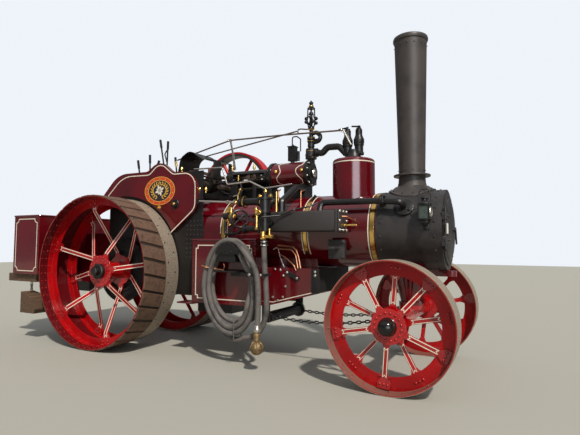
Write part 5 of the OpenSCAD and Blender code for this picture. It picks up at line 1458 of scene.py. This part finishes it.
def governorParts():
    def onColumn(rows, z, steps=28):
        return put(turnedShape(rows, steps), (governor["x"], 0, z))

    rings = [onColumn([(0, 0), (r, 0), (r + 3, 4), (r, 9), (0, 9)], z) for z, r in governor["rings"]]
    piece("governorRings", rings, "brass")
    frame = []
    for k in range(4):
        a = math.radians(90 * k + 20)
        route = [(governor["x"] + r * math.cos(a), r * math.sin(a), z) for r, z in governor["bars"]]
        reach, z = governor["ballPlace"]
        place = (governor["x"] + reach * math.cos(a), reach * math.sin(a), z)
        frame += [pipeShape(route, 0.0075, 0.03), put(ball, place, size=governor["ballSize"])]
    frame += [onColumn(governor["cap"], 3028), onColumn([(0, 0), (40, 0), (42, 5), (40, 12), (0, 12)], 2776),
              pipeShape(governor["elbow"], 0.027, 0.045)]
    piece("governorFrame", frame, "gloss")
    crown = [onColumn([(0, 0), (30, 0), (32, 5), (30, 14), (0, 14)], 3056, 24),
             onColumn([(0, 0), (36, 0), (38, 5), (34, 14), (0, 14)], 2764, 24)]
    piece("governorCrown", crown, "brass")
    face = turnedShape([(0, 14), (12, 14), (18, 10), (40, 8), (46, 4), (46, -30), (0, -30)], 32)
    knob = turnedShape([(0, 0), (9, 0), (9, 60), (20, 66), (24, 78), (20, 90), (0, 96)], 24)
    chest = [put(face, (governor["x"], -68, 2440), toRight), put(knob, (2680, 0, 2638), (1, 0, 0.1)),
             onColumn(governor["chest"], 2540)]
    spots = [(governor["x"] + 34 * math.cos(k), -75, 2440 + 34 * math.sin(k)) for k in governor["boltTurns"]]
    piece("governorChest", chest + heads(dome, spots, toRight, 0.006), "iron")
    link = [prism(governor["link"], -38, -29), put(ballCup, (1450, -34, 2748), toRight, 0.9)]
    piece("rodLink", link, "steel", smooth=0)


chain = {"links": 28, "start": 2352, "end": 3722, "y": 330, "length": 0.064, "width": 0.042, "wire": 0.0078}


def linkShape(place, along, side):  # one oval link, of 12 sections with 4 corners each
    across = along.cross(side)
    wire = chain["wire"]
    half, bend = (chain["length"] - chain["width"]) / 2, chain["width"] / 2 - wire
    points = []
    for k in range(12):
        a = math.radians(30 * k + 15)
        middle = along * (half if math.cos(a) > 0 else -half)
        radial = along * math.cos(a) + side * math.sin(a)
        for t in map(math.radians, (0, 90, 180, 270)):
            points.append(place + middle + radial * (bend + wire * math.cos(t)) + across * wire * math.sin(t))
    return np.array(points), skin(12, 4, closed=True)


def steeringChains():  # both sag between the roller and the front axle
    shapes, level = [], Vector((0, 1, 0))
    for side in (-1, 1):
        spots = []
        for k in range(chain["links"]):
            u = (k + 0.5) / chain["links"]
            x = chain["start"] + (chain["end"] - chain["start"]) * u
            spots.append(at(x, side * chain["y"], 500 + 92 * u - 240 * u * (1 - u)))
        for k, spot in enumerate(spots):
            along = (spots[min(k + 1, len(spots) - 1)] - spots[max(k - 1, 0)]).normalized()
            shapes.append(linkShape(spot, along, level if k % 2 else level.cross(along)))
    made = piece("steeringChains", shapes, "iron", None, 60, ["steering_chains"])
    tuple(at(2500, 0, 500))
    tuple(at(3700, 0, 560))
    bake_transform(made)


bellyDetail()
valveGear()
hoseKeepers()
makeHose(strainerPiece())
lanternPieces()
governorParts()
steeringChains()
print("small pieces placed")


# Floor, light and background

studio = {
    "floor": (0.36, 0.35, 0.3),
    "sunTurn": (42, 8, 38), "sunWidth": 2.5, "sun": 3.6, "sunColour": (1.0, 0.95, 0.88),
    "sky": (0.86, 0.9, 0.96), "skyLight": 0.52,
    "cloudAngle": math.radians(-58), "cloudRise": 0.1, "cloudGlow": 6,
}


def makeStudio():
    bpy.ops.mesh.primitive_plane_add(size=60, location=(0, 0, -0.001))
    floor = bpy.context.object
    floor.name = "floor"
    floor.data.materials.append(material("paleFloor", lambda place: surface(place, studio["floor"], 0.9)))
    bpy.ops.object.light_add(type="SUN", rotation=tuple(map(math.radians, studio["sunTurn"])))
    sun = bpy.context.object
    sun.name = "daylight"
    sun.data.energy = studio["sun"]
    sun.data.angle = math.radians(studio["sunWidth"])
    sun.data.color = studio["sunColour"]
    world = bpy.data.worlds.new("paleSky")
    scene.world = world
    world.use_nodes = True
    tree = world.node_tree
    tree.nodes.clear()
    path = tree.nodes.new("ShaderNodeLightPath")
    seen, mirrored = (Wire(tree, path.outputs[ray]) for ray in ("Is Camera Ray", "Is Glossy Ray"))
    toward = Wire(tree, tree.nodes.new("ShaderNodeTexCoord").outputs["Generated"])
    height = axis(toward, "Z")
    bright = (math.cos(studio["cloudAngle"]), math.sin(studio["cloudAngle"]), studio["cloudRise"])
    cloud = toward.make("ShaderNodeVectorMath", {"operation": "DOT_PRODUCT"}, {0: toward, 1: bright}, 1)
    # what shiny surfaces mirror
    glow = 0.2 + height.above(0.5, 0.2) * 0.45 + cloud.above(0.95, 0.03) * studio["cloudGlow"]
    strength = studio["skyLight"] + seen * (1 - studio["skyLight"]) + mirrored * (glow - studio["skyLight"])
    shade = strength.make("ShaderNodeBackground", (), {"Color": (*studio["sky"], 1), "Strength": strength})
    output = tree.nodes.new("ShaderNodeOutputWorld")
    tree.links.new(shade.socket, output.inputs["Surface"])


makeStudio()
scene.view_settings.view_transform = "Standard"
print("studio lit")
